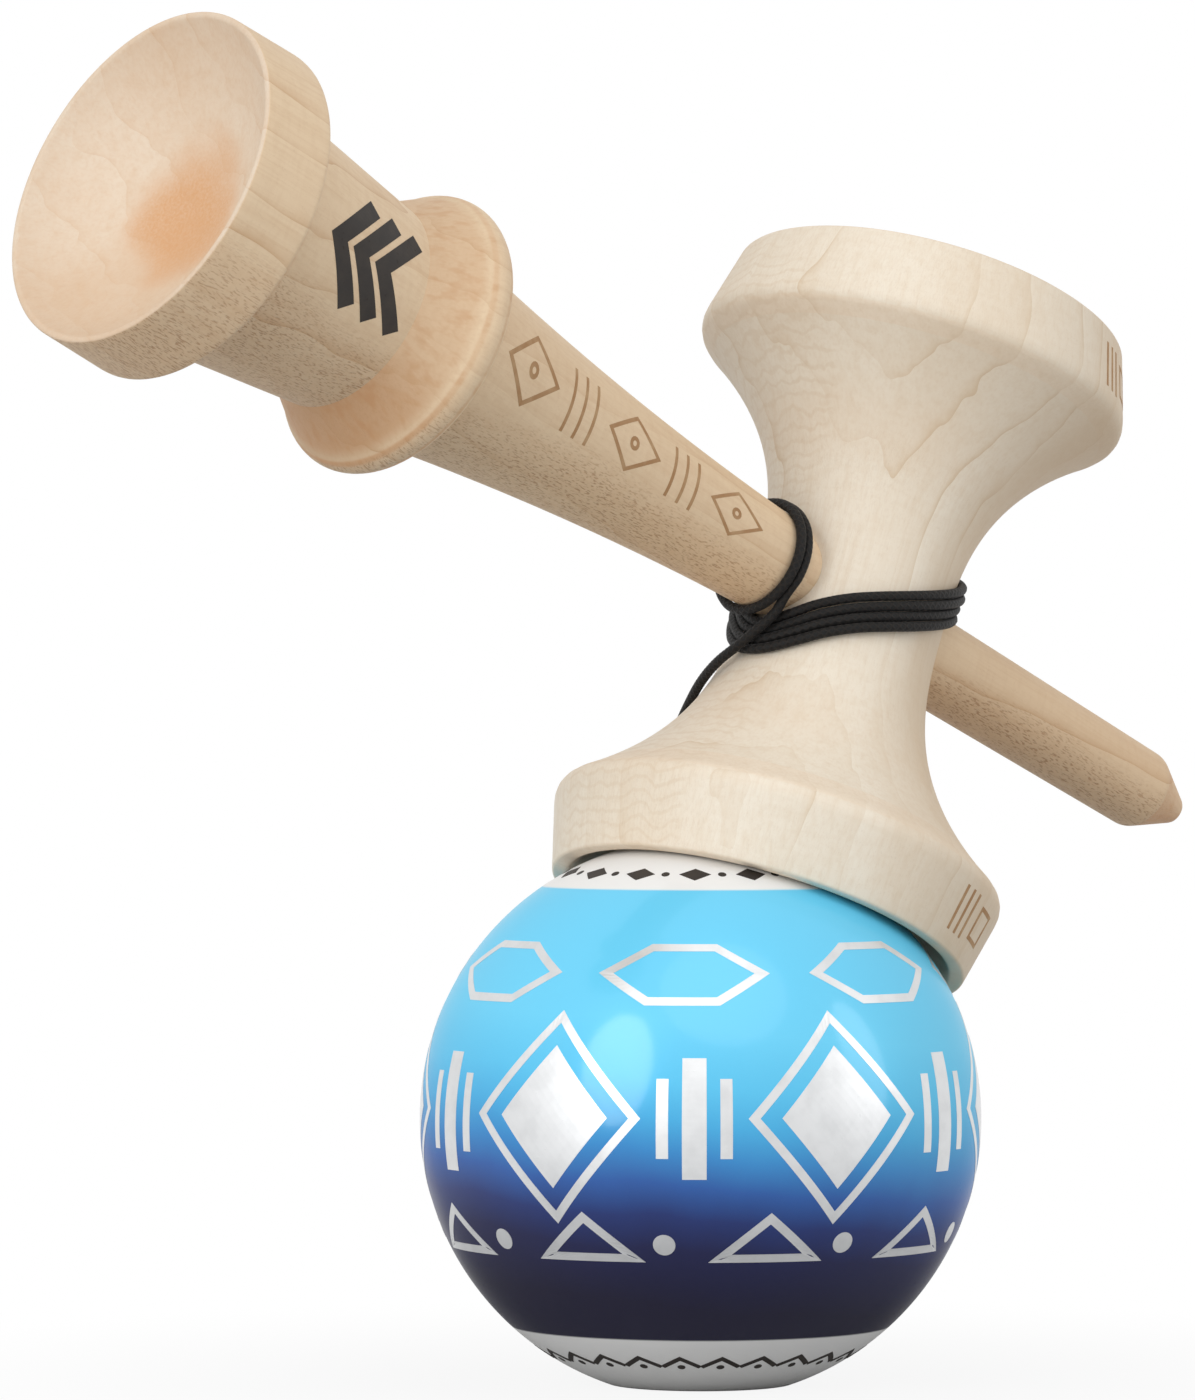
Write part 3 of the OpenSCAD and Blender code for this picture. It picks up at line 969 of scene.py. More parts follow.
@dataclass
class Maker:
    """What every sub-assembly needs: the stance, the finishes and the ring tree."""

    stance: Stance
    looks: dict[str, Material]
    ring: Tree

    def dress(self, piece: Piece, look: str, body: Body, slot: Slot) -> Piece:
        """Gives a piece its material and body.

        Args:
            piece: The piece.
            look: The finish's name.
            body: The body that it rides on.
            slot: The record's material slot; not used.

        Returns:
            The piece.
        """
        if not piece.data.materials:
            piece.data.materials.append(self.looks[look])
        else:
            piece.data.materials[0] = self.looks[look]
        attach(piece, body.value)
        LOG.info("%s: %d faces on %s", piece.name, len(piece.data.polygons), body.value)
        return piece


@dataclass
class Tama:
    """The painted ball with its foil and its printed bands."""

    maker: Maker
    bore_r: float = 8.2
    bore_depth: float = 45.0
    bore_bevel: float = 0.8
    top_hole_r: float = 1.6
    top_hole_bevel: float = 0.8
    segments: int = 192
    arc_steps: int = 120
    film_proud: float = 0.03
    line: float = 0.95
    ink_line: float = 0.62

    def ball(self) -> Piece:
        """The turned ball.

        Returns:
            The piece that stands for the ball's solid.
        """
        stance = self.maker.stance
        centre, r = stance.ball_centre, stance.ball_r
        low = -math.degrees(math.acos(stance.ring_r / r))
        lip = self.top_hole_r + self.top_hole_bevel
        high = math.degrees(math.acos(lip / r))
        outer = arc((0.0, centre), r, low, high, self.arc_steps)
        profile = dense([(self.bore_r + self.bore_bevel, 0.0), outer[0]], 0.5)[:-1] + outer
        profile += [
            (self.top_hole_r, centre + r - self.top_hole_bevel),
            (self.top_hole_r, self.bore_depth),
            (self.bore_r - 0.4, self.bore_depth),
            (self.bore_r, self.bore_depth - 0.4),
            (self.bore_r, self.bore_bevel),
        ]
        piece = to_object(lathe(profile, self.segments, closed=True), "tama_ball")
        smooth_by_angle(piece, 20.0)
        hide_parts("tama")
        return self.maker.dress(piece, "paint", Body.TAMA, Slot.PAINTED_WOOD)

    def on_ball(self, latitude: float) -> Lay:
        """The ball's surface about a latitude on its +X side."""
        stance = self.maker.stance
        middle = math.radians(latitude)

        def lay(u: float, v: float, height: float) -> Vector:
            """A point so far east and north of the middle, so far above the paint."""
            lat = middle + v / stance.ball_r
            lon = u / (stance.ball_r * math.cos(middle))
            r = stance.ball_r + height
            flat = r * math.cos(lat)
            z = stance.ball_centre + r * math.sin(lat)
            return Vector((flat * math.cos(lon), flat * math.sin(lon), z))

        return lay

    def printed(
        self, name: str, patches: list[Grid], latitude: float, count: int, start: float, look: str
    ) -> Piece:
        """One ring of printed motifs.

        Args:
            name: The piece's name.
            patches: The motif's grids.
            latitude: Latitude of its middle.
            count: Copies around the ball.
            start: Turn of the first in degrees.
            look: The finish's name.

        Returns:
            The piece.
        """
        piece = to_object(film(patches, self.on_ball(latitude), self.film_proud), name)
        set_in_ring(piece, self.maker.ring, count, start, self.maker.looks[look])
        return self.maker.dress(piece, look, Body.TAMA, Slot.PAINTED_WOOD)

    def build(self) -> None:
        """Builds the ball, its foil and its bands."""
        self.ball()
        wide = [(-8.4, 0.0), (-3.6, 3.3), (3.6, 3.3), (8.4, 0.0), (3.6, -3.3), (-3.6, -3.3)]
        self.printed("foil_hexagons", [ribbon(wide, self.line, True)], 33.0, 7, 8.0, "foil")
        block = [(-6.6, 0.0), (0.0, -7.6), (6.6, 0.0), (0.0, 7.6)]
        halo = [(-9.6, 0.0), (0.0, -10.8), (9.6, 0.0), (0.0, 10.8)]
        self.printed("foil_diamonds", [filled(block, 12)], 3.0, 6, -62.0, "foil")
        self.printed("foil_halos", [ribbon(halo, self.line, True)], 3.0, 6, -62.0, "foil")
        bars = [
            ribbon([(0.0, -6.4), (0.0, 6.4)], 2.6),
            ribbon([(-3.4, -4.2), (-3.4, 4.2)], 1.3),
            ribbon([(3.4, -4.2), (3.4, 4.2)], 1.3),
        ]
        self.printed("foil_bars", bars, 3.0, 6, -32.0, "foil")
        peak = [(-5.2, -2.0), (0.0, 2.6), (5.2, -2.0)]
        peaks = [ribbon(peak, self.line, True), disc(2.4, (8.6, -0.4))]
        self.printed("foil_peaks", peaks, -22.0, 9, 4.0, "foil")
        gem = [(-1.7, 0.0), (0.0, -1.25), (1.7, 0.0), (0.0, 1.25)]
        beads = [filled(gem, 4), disc(0.9, (2.9, 0.0), 2, 16)]
        self.printed("ink_top_band", beads, 61.5, 15, 3.0, "ink")
        wave = [(-2.1, -0.9), (0.0, 0.9), (2.1, -0.9)]
        waves = [ribbon(wave, self.ink_line, step=0.5), disc(0.9, (0.0, -0.9), 2, 16)]
        self.printed("ink_low_band", waves, -55.5, 25, 3.0, "ink")


@dataclass
class Sarado:
    """The cross cups on their waisted neck."""

    maker: Maker
    waist_r: float = 11.0
    flare_power: float = 2.8
    up_reach: float = 36.8
    up_band: float = 9.0
    up_shoulder_r: float = 24.65
    up_lip_r: float = 22.25
    up_depth: float = 10.0
    low_reach: float = 37.9
    low_band: float = 9.0
    low_shoulder_r: float = 25.6
    low_lip_r: float = 23.4
    low_depth: float = 11.4
    cup_lip: float = 1.6
    shoulder_round: float = 1.6
    lip_round: float = 0.35
    seat_r: float = 5.07
    cord_hole_r: float = 1.3
    segments: int = 144
    flare_steps: int = 56
    bowl_steps: int = 40
    scorch: float = 0.45
    scorch_proud: float = 0.02

    def neck_r(self, z: float) -> float:
        """Radius of the neck at a height from its middle."""
        if z > 0:
            share = z / (self.up_reach - self.up_band)
            return self.waist_r + (self.up_shoulder_r - self.waist_r) * share**self.flare_power
        share = -z / (self.low_reach - self.low_band)
        return self.waist_r + (self.low_shoulder_r - self.waist_r) * share**self.flare_power

    def half(
        self, reach: float, band: float, shoulder_r: float, lip_r: float, depth: float, sign: int
    ) -> Profile:
        """One cup's profile from the bottom of its bowl to its waist.

        Args:
            reach: Distance from the waist to the lip.
            band: Length of the rim band.
            shoulder_r: Radius at the shoulder.
            lip_r: Radius at the lip.
            depth: Depth of the bowl.
            sign: 1 for the cup above and -1 for the cup below.

        Returns:
            The points as radius and height.
        """
        mouth = lip_r - self.cup_lip
        bottom = [(0.0, reach - depth)] + bowl_curve(mouth, depth, reach, self.bowl_steps)[1:]
        shoulder = reach - band
        heights = [shoulder * i / self.flare_steps for i in range(self.flare_steps + 1)]
        flare = [(self.neck_r(sign * z), z) for z in heights]
        rim = [bottom[-2], bottom[-1], (lip_r, reach), (shoulder_r, shoulder), flare[-4]]
        rim = round_corners(rim, {1: self.lip_round, 2: self.lip_round, 3: self.shoulder_round})
        made = bottom[:-1] + dense(rim[1:-1], 1.5) + flare[-4::-1]
        return [(r, sign * z) for r, z in made]

    def build(self) -> None:
        """Builds the cups and the scorched marks on their rims."""
        low_sizes = (self.low_reach, self.low_band, self.low_shoulder_r, self.low_lip_r, self.low_depth)
        low = self.half(*low_sizes, -1)
        up = self.half(self.up_reach, self.up_band, self.up_shoulder_r, self.up_lip_r, self.up_depth, 1)
        profile = low + up[-2::-1]
        place = self.maker.stance.sarado_matrix()
        piece = to_object(lathe(profile, self.segments), "sarado_cups", place)
        long = 2.0 * self.low_shoulder_r
        seat = to_object(cylinder(self.seat_r, long, "X"), "seat_cutter", place)
        hole = to_object(cylinder(self.cord_hole_r, long, "Y"), "hole_cutter", place)
        cut(piece, [seat, hole])
        smooth_by_angle(piece)
        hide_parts("sarado")
        self.maker.dress(piece, "sarado_wood", Body.KEN, Slot.PALE_WOOD)
        ticks = [ribbon([(x, -2.6), (x, 2.6)], self.scorch) for x in (-3.6, -2.2, -0.8)]
        ticks.append(ribbon([(1.2, -1.7), (4.4, -1.7), (4.4, 1.7), (1.2, 1.7)], self.scorch, True))
        for name, turn, sign in (("scorch_low_rim", 113.0, -1), ("scorch_up_rim", 118.0, 1)):
            mark = to_object(film(ticks, self.on_band(turn, sign), self.scorch_proud), name, place)
            self.maker.dress(mark, "scorch", Body.KEN, Slot.PALE_WOOD)

    def on_band(self, turn: float, sign: int) -> Lay:
        """The rim band of one cup about a turn from the ken's grip."""
        low = sign < 0
        lip = self.low_lip_r if low else self.up_lip_r
        shoulder_r = self.low_shoulder_r if low else self.up_shoulder_r
        reach, band = (self.low_reach, self.low_band) if low else (self.up_reach, self.up_band)

        def lay(u: float, v: float, height: float) -> Vector:
            """A point so far round and so far up from the middle of the band."""
            z = reach - band / 2 + sign * v
            r = lip + (shoulder_r - lip) * (reach - z) / band + height
            a = math.radians(turn) + u / lip
            return Vector((r * math.cos(a), r * math.sin(a), sign * z))

        return lay


@dataclass
class Ken:
    """The turned handle, with its printed and scorched marks."""

    maker: Maker
    spike_reach: float = 58.0
    spike_cone: float = 6.5
    spike_r: float = 4.65
    spike_tip_r: float = 1.5
    seat_r: float = 5.05
    waist_r: float = 11.0
    stop_place: float = 11.6
    stop_r: float = 5.6
    shaft_end_r: float = 10.9
    shaft_share: float = 0.38
    collar_place: float = 72.2
    collar_r: float = 15.9
    collar_edge: float = 2.4
    grip_start: float = 79.5
    grip_neck_r: float = 11.8
    grip_end_r: float = 13.9
    base_reach: float = 110.2
    base_lip_r: float = 18.75
    base_back_r: float = 18.95
    base_back: float = 101.4
    base_lip: float = 0.6
    base_depth: float = 8.5
    tip_round: float = 0.5
    back_round: float = 0.6
    lip_round: float = 0.25
    cord_hole_r: float = 1.3
    mark_place: float = 87.0
    mark_proud: float = 0.03
    row_place: float = 42.0
    row_turn: float = 2.0
    scorch: float = 0.45
    scorch_proud: float = 0.02
    segments: int = 128
    bowl_steps: int = 36
    shaft_steps: int = 40

    @property
    def collar_foot(self) -> float:
        """Place where the shaft meets the collar."""
        return self.collar_place - 2 * self.collar_edge

    def shaft_r(self, x: float) -> float:
        """Radius of the shaft at a distance from the middle of the sarado."""
        u = (x - self.stop_place) / (self.collar_foot - self.stop_place)
        grown = self.shaft_share * u + (1 - self.shaft_share) * u * u
        return self.stop_r + (self.shaft_end_r - self.stop_r) * grown

    def grip_r(self, x: float) -> float:
        """Radius of the grip at a distance from the middle of the sarado."""
        end = self.base_back - (self.base_back_r - self.grip_end_r)
        share = (x - self.grip_start) / (end - self.grip_start)
        return self.grip_neck_r + (self.grip_end_r - self.grip_neck_r) * share

    def profile(self) -> Profile:
        """The handle's profile from the spike's tip to the bottom of the base cup's bowl."""
        spike = [
            (0.0, -self.spike_reach), (self.spike_tip_r, -self.spike_reach),
            (self.spike_r, self.spike_cone - self.spike_reach), (self.seat_r, -self.waist_r),
        ]
        made = dense(round_corners(spike, {1: self.tip_round, 2: self.tip_round}), 2.0)
        made.append((self.seat_r, self.stop_place))
        span = self.collar_foot - self.stop_place
        places = [self.stop_place + span * i / self.shaft_steps for i in range(self.shaft_steps + 1)]
        made += [(self.shaft_r(x), x) for x in places]
        edge = self.collar_edge
        made += arc((self.collar_r - edge, self.collar_place), edge, -60.0, 50.0, 15)
        cove = self.base_back_r - self.grip_end_r
        end = self.base_back - cove
        made += dense([made[-1], (self.grip_neck_r, self.grip_start), (self.grip_end_r, end)], 2.0)[1:]
        made += arc((self.base_back_r, end), cove, 174.0, 96.0, 13)
        mouth = self.base_lip_r - self.base_lip
        bottom = bowl_curve(mouth, self.base_depth, self.base_reach, self.bowl_steps)[:0:-1]
        bottom.append((0.0, self.base_reach - self.base_depth))
        rim = [made[-1], (self.base_back_r, self.base_back), (self.base_lip_r, self.base_reach), *bottom[:2]]
        rim = round_corners(rim, {1: self.back_round, 2: self.lip_round, 3: self.lip_round})
        return made + dense(rim[1:-1], 1.5) + bottom[1:]

    def on_shaft(self, middle: float, turn: float, radius: Callable[[float], float]) -> Lay:
        """The shaft or the grip about a place along it and a turn from the cord hole's side."""

        def lay(u: float, v: float, height: float) -> Vector:
            """A point so far along and so far round from the middle."""
            x = middle + u
            r = radius(x) + height
            a = math.radians(turn) + v / radius(middle)
            return Vector((x, r * math.cos(a), r * math.sin(a)))

        return lay

    def marks(self) -> None:
        """The printed mark on the grip and the scorched row on the shaft."""
        place = self.maker.stance.sarado_matrix()
        bars = []
        for d in (-3.0, 0.6, 4.2):
            bars.append(ribbon([(d - 2.4, -5.6), (d + 2.4, 0.0), (d - 2.4, 5.6)], 2.0, step=0.5))
        grip = self.on_shaft(self.mark_place, 0.0, self.grip_r)
        printed = to_object(film(bars, grip, self.mark_proud), "ink_grip_mark", place)
        self.maker.dress(printed, "ink", Body.KEN, Slot.PALE_WOOD)
        row = []
        for middle in (-17.0, 1.0, 19.0):
            diamond = [(middle - 4.2, 0.0), (middle, 3.0), (middle + 4.2, 0.0), (middle, -3.0)]
            row.append(ribbon(diamond, self.scorch, True, 0.5))
            row.append(ribbon(ellipse(1.1, 1.1, 14, (middle, 0.0)), self.scorch, True, 0.3))
        for middle in (-8.0, 10.0):
            for d in (-2.0, 0.0, 2.0):
                row.append(ribbon([(middle + d, -3.2), (middle + d, 3.2)], self.scorch, step=0.5))
        shaft = self.on_shaft(self.row_place, self.row_turn, self.shaft_r)
        scorched = to_object(film(row, shaft, self.scorch_proud), "scorch_shaft", place)
        self.maker.dress(scorched, "scorch", Body.KEN, Slot.PALE_WOOD)

    def build(self) -> None:
        """Builds the handle and its marks."""
        place = self.maker.stance.sarado_matrix()
        piece = to_object(lathe(self.profile(), self.segments), "ken_handle", self.maker.stance.ken_matrix())
        hole = cylinder(self.cord_hole_r, 2 * self.waist_r, "Y")
        bmesh.ops.translate(hole, verts=hole.verts, vec=(0.0, self.waist_r, 0.0))
        cut(piece, [to_object(hole, "ken_hole_cutter", place)])
        smooth_by_angle(piece)
        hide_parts("ken")
        self.maker.dress(piece, "ken_wood", Body.KEN, Slot.PALE_WOOD)
        self.marks()


@dataclass
class Cord:
    """The braided cord: wound round the neck, over the shaft, and down into the ball."""

    maker: Maker
    sarado: Sarado
    ken: Ken
    size: float = 1.12
    least_bend: float = 2.6
    eased_bend: float = 2.4
    ease_rounds: int = 300
    turns: int = 4
    spacing: float = 1.14
    band_lean: float = 5.2
    front_drop: float = 0.6
    dip_width: float = 34.0
    wrap_gap: float = 0.04
    slack: float = 0.12
    slack_waves: float = 1.37
    spike_gap: float = 0.1
    grip_gap: float = 0.55
    rim_gap: float = 0.38
    knot_gap: float = 0.3
    hitch_first: float = 15.1
    hitch_last: float = 13.4
    hitch_start: float = 125.0
    hitch_stop: float = -403.0
    hitch_cross: float = 12.0
    hitch_lift: float = 1.5
    hitch_ease: float = 42.0
    lip_slip: float = 0.6
    bead_d: float = 8.4
    bead_hole_d: float = 1.9
    bead_rest: float = 36.8
    knot_d: float = 3.6
    anchor_d: float = 2.56
    knot_thick: float = 0.2
    knot_hang: float = 0.42
    knot_rise: float = 1.6
    knot_steps: int = 120
    braid_strands: int = 4
    braid_rate: float = 5.7
    braid_base: float = 0.97
    braid_depth: float = 0.05
    sides: int = 14
    step: float = 0.28
    curve_steps: int = 12
    hitch_points: int = 23
    loop_step: float = 15.0
    side_turns: tuple[float, ...] = (14.5, 7.5, -1.5, -15, -31, -47, -63, -79, -93, -103, -108, -110)
    side_heights: tuple[float, ...] = (
        0.215, 0.287, 0.353, 0.405, 0.457, 0.52, 0.623, 0.747, 0.879, 1.0, 1.13, 1.22,
    )
    side_lifts: tuple[float, ...] = (1.46, 1.26, 0.96, 0.4, -0.1, -0.28, -0.28, -0.2, -0.1, 0, 0, 0)
    inner_shares: tuple[float, ...] = (0.22, 0.45, 0.68, 0.84)
    inner_reach: float = 7.0

    @property
    def r(self) -> float:
        """The cord's radius."""
        return self.size / 2

    def loop(self, angle: float) -> Vector:
        """The point of the winding at an angle from the ken's grip, in the sarado's frame."""
        spike_side = self.ken.seat_r + self.r + self.spike_gap
        grip_place = self.sarado.neck_r(-self.ken.seat_r - self.size) + self.size
        grip_side = self.ken.shaft_r(grip_place) + self.r + self.grip_gap
        middle = self.turns / 4
        dip = grip_side + (self.turns - 0.75 - middle) * self.spacing - self.band_lean - self.front_drop / 2
        rise = spike_side - (0.75 - middle) * self.spacing - self.band_lean + self.front_drop / 2
        a = math.radians(angle)

        def line(turn: float) -> float:
            """Height of the band's own line at an angle in radians."""
            under = math.remainder(turn, 2 * math.pi) / math.radians(self.dip_width)
            above = math.remainder(turn - math.pi, 2 * math.pi) / math.radians(self.dip_width)
            pressed = rise * math.exp(-above * above) - dip * math.exp(-under * under)
            return pressed - self.band_lean * math.cos(turn) - self.front_drop * (1 + math.sin(turn)) / 2

        slope = (line(a + 0.02) - line(a - 0.02)) / (0.04 * (self.sarado.waist_r + self.r))
        beside = self.spacing * math.sqrt(1 + slope * slope)
        z = beside * ((angle + 90) / 360 - middle * (1 + math.sin(a))) + line(a)
        loose = self.slack * (1 + math.sin(self.slack_waves * a))
        r = self.sarado.neck_r(z) + self.r + self.wrap_gap + loose
        return Vector((r * math.cos(a), r * math.sin(a), z))

    def winding(self) -> list[Vector]:
        """The cord's way from its knot, around the neck and around the shaft, in the sarado's frame.

        Returns:
            The points in millimetres.
        """
        exit_r = self.sarado.waist_r + self.r + self.wrap_gap
        bend = self.least_bend
        anchor_face = math.sqrt((self.anchor_d / 2) ** 2 - self.r**2)
        points = [Vector((0, -anchor_face, 0)), Vector((0, (bend - exit_r) / 2, 0))]
        past_arc = math.degrees(bend / exit_r) - 90
        onward = self.loop(past_arc + 4) - self.loop(past_arc - 4)
        onward = Vector((onward.x, 0, onward.z)).normalized()
        for turn in (0, 20, 40, 60, 80, 100):
            a = math.radians(turn)
            outward = Vector((0, bend * (1 - math.sin(a)) - exit_r, 0))
            points.append(outward + bend * (1 - math.cos(a)) * onward)
        start = 2 * math.degrees(bend / exit_r) - 90
        stop = 360 * self.turns - 60
        count = math.ceil((stop - start) / self.loop_step)
        points += [self.loop(start + (stop - start) * i / count) for i in range(count + 1)]
        hitch = []
        for share in np.linspace(0.0, 1.0, self.hitch_points):
            x = self.hitch_first + (self.hitch_last - self.hitch_first) * share
            a = math.radians(self.hitch_start + (self.hitch_stop - self.hitch_start) * share)
            over = math.degrees(a) - self.hitch_start + 360 - self.hitch_cross
            lift = self.hitch_lift * math.exp(-((over / self.hitch_ease) ** 2))
            r = self.ken.shaft_r(x) + self.r + self.wrap_gap + lift
            hitch.append(Vector((x, r * math.cos(a), r * math.sin(a))))
        points += [points[-1].lerp(hitch[0], share) for share in (0.33, 0.67)]
        return points + hitch

    def lip_turn(self) -> list[Vector]:
        """The cord's turn around the large cup's lip into the gap above the ball, in the sarado's frame.

        Returns:
            The points in millimetres, the last of them between the lip and the ball.
        """
        stance = self.maker.stance
        centre = stance.sarado_matrix().inverted() @ Vector((0, 0, stance.ball_centre))
        a = math.radians(self.side_turns[-1])
        out = Vector((math.cos(a), math.sin(a), 0))
        edge = out * stance.low_mouth_r - Vector((0, 0, self.sarado.low_reach))
        up = (edge - centre).normalized()
        away = (out - up * out.dot(up)).normalized()
        between = (stance.ball_r + (edge - centre).length) / 2
        middle = centre + up * (between + self.least_bend) - away * self.lip_slip
        turns = [math.radians(turn) for turn in (100, 80, 60, 40, 20, 0)]
        return [middle + self.least_bend * (away * math.sin(t) - up * math.cos(t)) for t in turns]

    def lead(self) -> list[Vector]:
        """The cord's way from the shaft down to the knot under the bead, in the shared frame.

        Returns:
            The points in millimetres.
        """
        stance, sarado = self.maker.stance, self.sarado
        place = stance.sarado_matrix()
        shoulder = sarado.low_reach - sarado.low_band
        points = []
        for turn, share, lift in zip(self.side_turns, self.side_heights, self.side_lifts):
            a = math.radians(turn)
            r = sarado.neck_r(-share * shoulder)
            if share > 1:
                narrowing = (sarado.low_lip_r - sarado.low_shoulder_r) * shoulder / sarado.low_band
                r = sarado.low_shoulder_r + narrowing * (share - 1)
            r += self.r + self.rim_gap + lift
            points.append(Vector((r * math.cos(a), r * math.sin(a), -share * shoulder)))
        points = [place @ p for p in points + self.lip_turn()]
        middle = Vector((0, 0, stance.ball_centre))
        way = (points[-1] - middle).normalized()
        r = (points[-1] - middle).length
        up = Vector((0, 0, 1))
        ahead = (points[-1] - points[-2]).normalized()
        aim = (points[-1] + ahead * self.inner_reach - middle).normalized()
        for u in self.inner_shares:
            bowed = (1 - u) ** 2 * way + 2 * u * (1 - u) * aim + u * u * up
            points.append(middle + bowed.normalized() * r)
        pole = Vector((aim.x, aim.y, 0)).normalized()
        bend = self.least_bend
        for turn in (0, 22.5, 45, 67.5):
            a = math.radians(turn)
            sideways, height = bend * (1 - math.sin(a)), bend * (math.cos(a) - 1)
            points.append(middle + pole * sideways + up * (r + height))
        top = stance.ball_centre + r - bend
        bead_foot = math.sqrt((self.bead_d / 2) ** 2 - (self.bead_hole_d / 2) ** 2)
        knot_top = self.bead_rest - bead_foot - self.knot_gap
        points += [Vector((0, 0, z)) for z in np.linspace(top, knot_top, 9)]
        return points

    @staticmethod
    def smooth(points: list[Vector], step: float, steps: int) -> list[Vector]:
        """A smooth curve through points, with its own points a step apart.

        Args:
            points: The points.
            step: The distance between the new ones.
            steps: Steps of the curve between two of the points.

        Returns:
            The new points.
        """
        ends = [2 * points[0] - points[1], *points, 2 * points[-1] - points[-2]]
        fine = []
        for p0, p1, p2, p3 in zip(ends, ends[1:], ends[2:], ends[3:]):
            t1 = math.sqrt((p1 - p0).length)
            t2 = t1 + math.sqrt((p2 - p1).length)
            t3 = t2 + math.sqrt((p3 - p2).length)
            for k in range(steps):
                share = k / steps
                t = t1 + (t2 - t1) * share
                middle = p1.lerp(p2, share)
                before = p0.lerp(p1, t / t1).lerp(middle, t / t2)
                after = middle.lerp(p2.lerp(p3, (t - t2) / (t3 - t2)), (t - t1) / (t3 - t1))
                fine.append(before.lerp(after, share))
        fine.append(points[-1])
        co = np.array(fine)
        far = np.concatenate(([0.0], np.cumsum(np.linalg.norm(np.diff(co, axis=0), axis=1))))
        count = max(4, round(far[-1] / step))
        at = np.linspace(0.0, far[-1], count + 1)
        return [Vector(p) for p in np.stack([np.interp(at, far, co[:, k]) for k in range(3)], axis=1)]

    def ease(self, path: list[Vector]) -> list[Vector]:
        """The path with its tight spots opened to the least bend.

        Args:
            path: Points that lie one step apart.

        Returns:
            The new points.
        """
        co = np.array(path)
        reach = 3
        for _ in range(self.ease_rounds):
            near, far = co[reach:-reach] - co[: -2 * reach], co[2 * reach:] - co[reach:-reach]
            across = near + far
            sides = np.prod([np.linalg.norm(side, axis=1) for side in (near, far, across)], axis=0)
            bends = sides / np.maximum(2 * np.linalg.norm(np.cross(near, across), axis=1), 1e-9)
            tight = np.convolve(bends < self.eased_bend, np.ones(2 * reach + 1), "same") > 0
            if not tight.any():
                break
            pulled = (co[reach - 1:-reach - 1] + co[reach + 1:len(co) - reach + 1]) / 2
            co[reach:-reach][tight] += 0.5 * (pulled - co[reach:-reach])[tight]
        return [Vector(p) for p in co]

    def tube(self, path: list[Vector], name: str, radius: float) -> Piece:
        """A braided tube along a path, with a UV map around it and along it.

        Args:
            path: Points in millimetres, close together.
            name: The object's name.
            radius: The tube's radius.

        Returns:
            The tube.
        """
        bm = bmesh.new()
        uv = bm.loops.layers.uv.new("UVMap")
        way = (path[1] - path[0]).normalized()
        normal = way.orthogonal().normalized()
        rings, far, along = [], [0.0], 0.0
        for i, point in enumerate(path):
            way = (path[min(i + 1, len(path) - 1)] - path[max(i - 1, 0)]).normalized()
            normal = (normal - way * normal.dot(way)).normalized()
            other = way.cross(normal)
            if i:
                along += (point - path[i - 1]).length
                far.append(along)
            ring = []
            for j in range(self.sides):
                a = 2 * math.pi * j / self.sides
                strand, twist = self.braid_strands * a, self.braid_rate * along
                weave = math.cos(strand + twist) * math.cos(strand - twist)
                r = radius * (self.braid_base + self.braid_depth * weave)
                ring.append(bm.verts.new(point + r * (math.cos(a) * normal + math.sin(a) * other)))
            rings.append(ring)
        for i in range(len(rings) - 1):
            for j in range(self.sides):
                k = (j + 1) % self.sides
                face = bm.faces.new((rings[i][j], rings[i][k], rings[i + 1][k], rings[i + 1][j]))
                face.smooth = True
                spots = ((j, i), (j + 1, i), (j + 1, i + 1), (j, i + 1))
                for loop, (u, v) in zip(face.loops, spots):
                    loop[uv].uv = (u / self.sides, far[v])
        bm.faces.new(rings[0][::-1])
        bm.faces.new(rings[-1])
        bmesh.ops.recalc_face_normals(bm, faces=bm.faces)
        return to_object(bm, name)

    def knot(self, name: str, middle: Vector, across: float, node: str) -> Piece:
        """A knot drawn tight, as a tube along a trefoil.

        Args:
            name: The piece's name.
            middle: Its middle in millimetres.
            across: How wide it is.
            node: The CAD node that it stands for.

        Returns:
            The piece.
        """
        thick = min(self.r, across * self.knot_thick)
        reach = (across / 2 - thick) / 3.0
        path = []
        for i in range(self.knot_steps + 1):
            t = 2 * math.pi * i / self.knot_steps
            flat = (math.sin(t) + 2 * math.sin(2 * t), math.cos(t) - 2 * math.cos(2 * t))
            path.append(middle + Vector((*flat, -self.knot_rise * math.sin(3 * t))) * reach)
        piece = self.tube(path[:-1], name, thick)
        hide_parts(node)
        return self.maker.dress(piece, "cord", Body.KEN, Slot.CORD)

    def build(self) -> None:
        place = self.maker.stance.sarado_matrix()
        route = [place @ p for p in self.winding()] + self.lead()
        path = self.ease(self.smooth(route, self.step, self.curve_steps))
        piece = self.tube(path, "cord_wound", self.r)
        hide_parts("string_winding", "string_lead")
        self.maker.dress(piece, "cord", Body.KEN, Slot.CORD)
        hung = path[-1] - Vector((0, 0, self.knot_d * self.knot_hang))
        end = self.knot("cord_end_knot", hung, self.knot_d, "end_knot")
        anchor = self.knot("cord_anchor_knot", place @ Vector((0, 0, 0)), self.anchor_d, "anchor_knot")


@dataclass
class Bead:
    """The wooden bead inside the ball."""

    maker: Maker
    node: Piece

    def build(self) -> None:
        """Gives the bead's solid its wood."""
        self.node.data.materials.clear()
        self.node.data.materials.append(self.maker.looks["bead_wood"])
        LOG.info("%s: wood on its own solid", self.node.name)


# Camera, floor and light


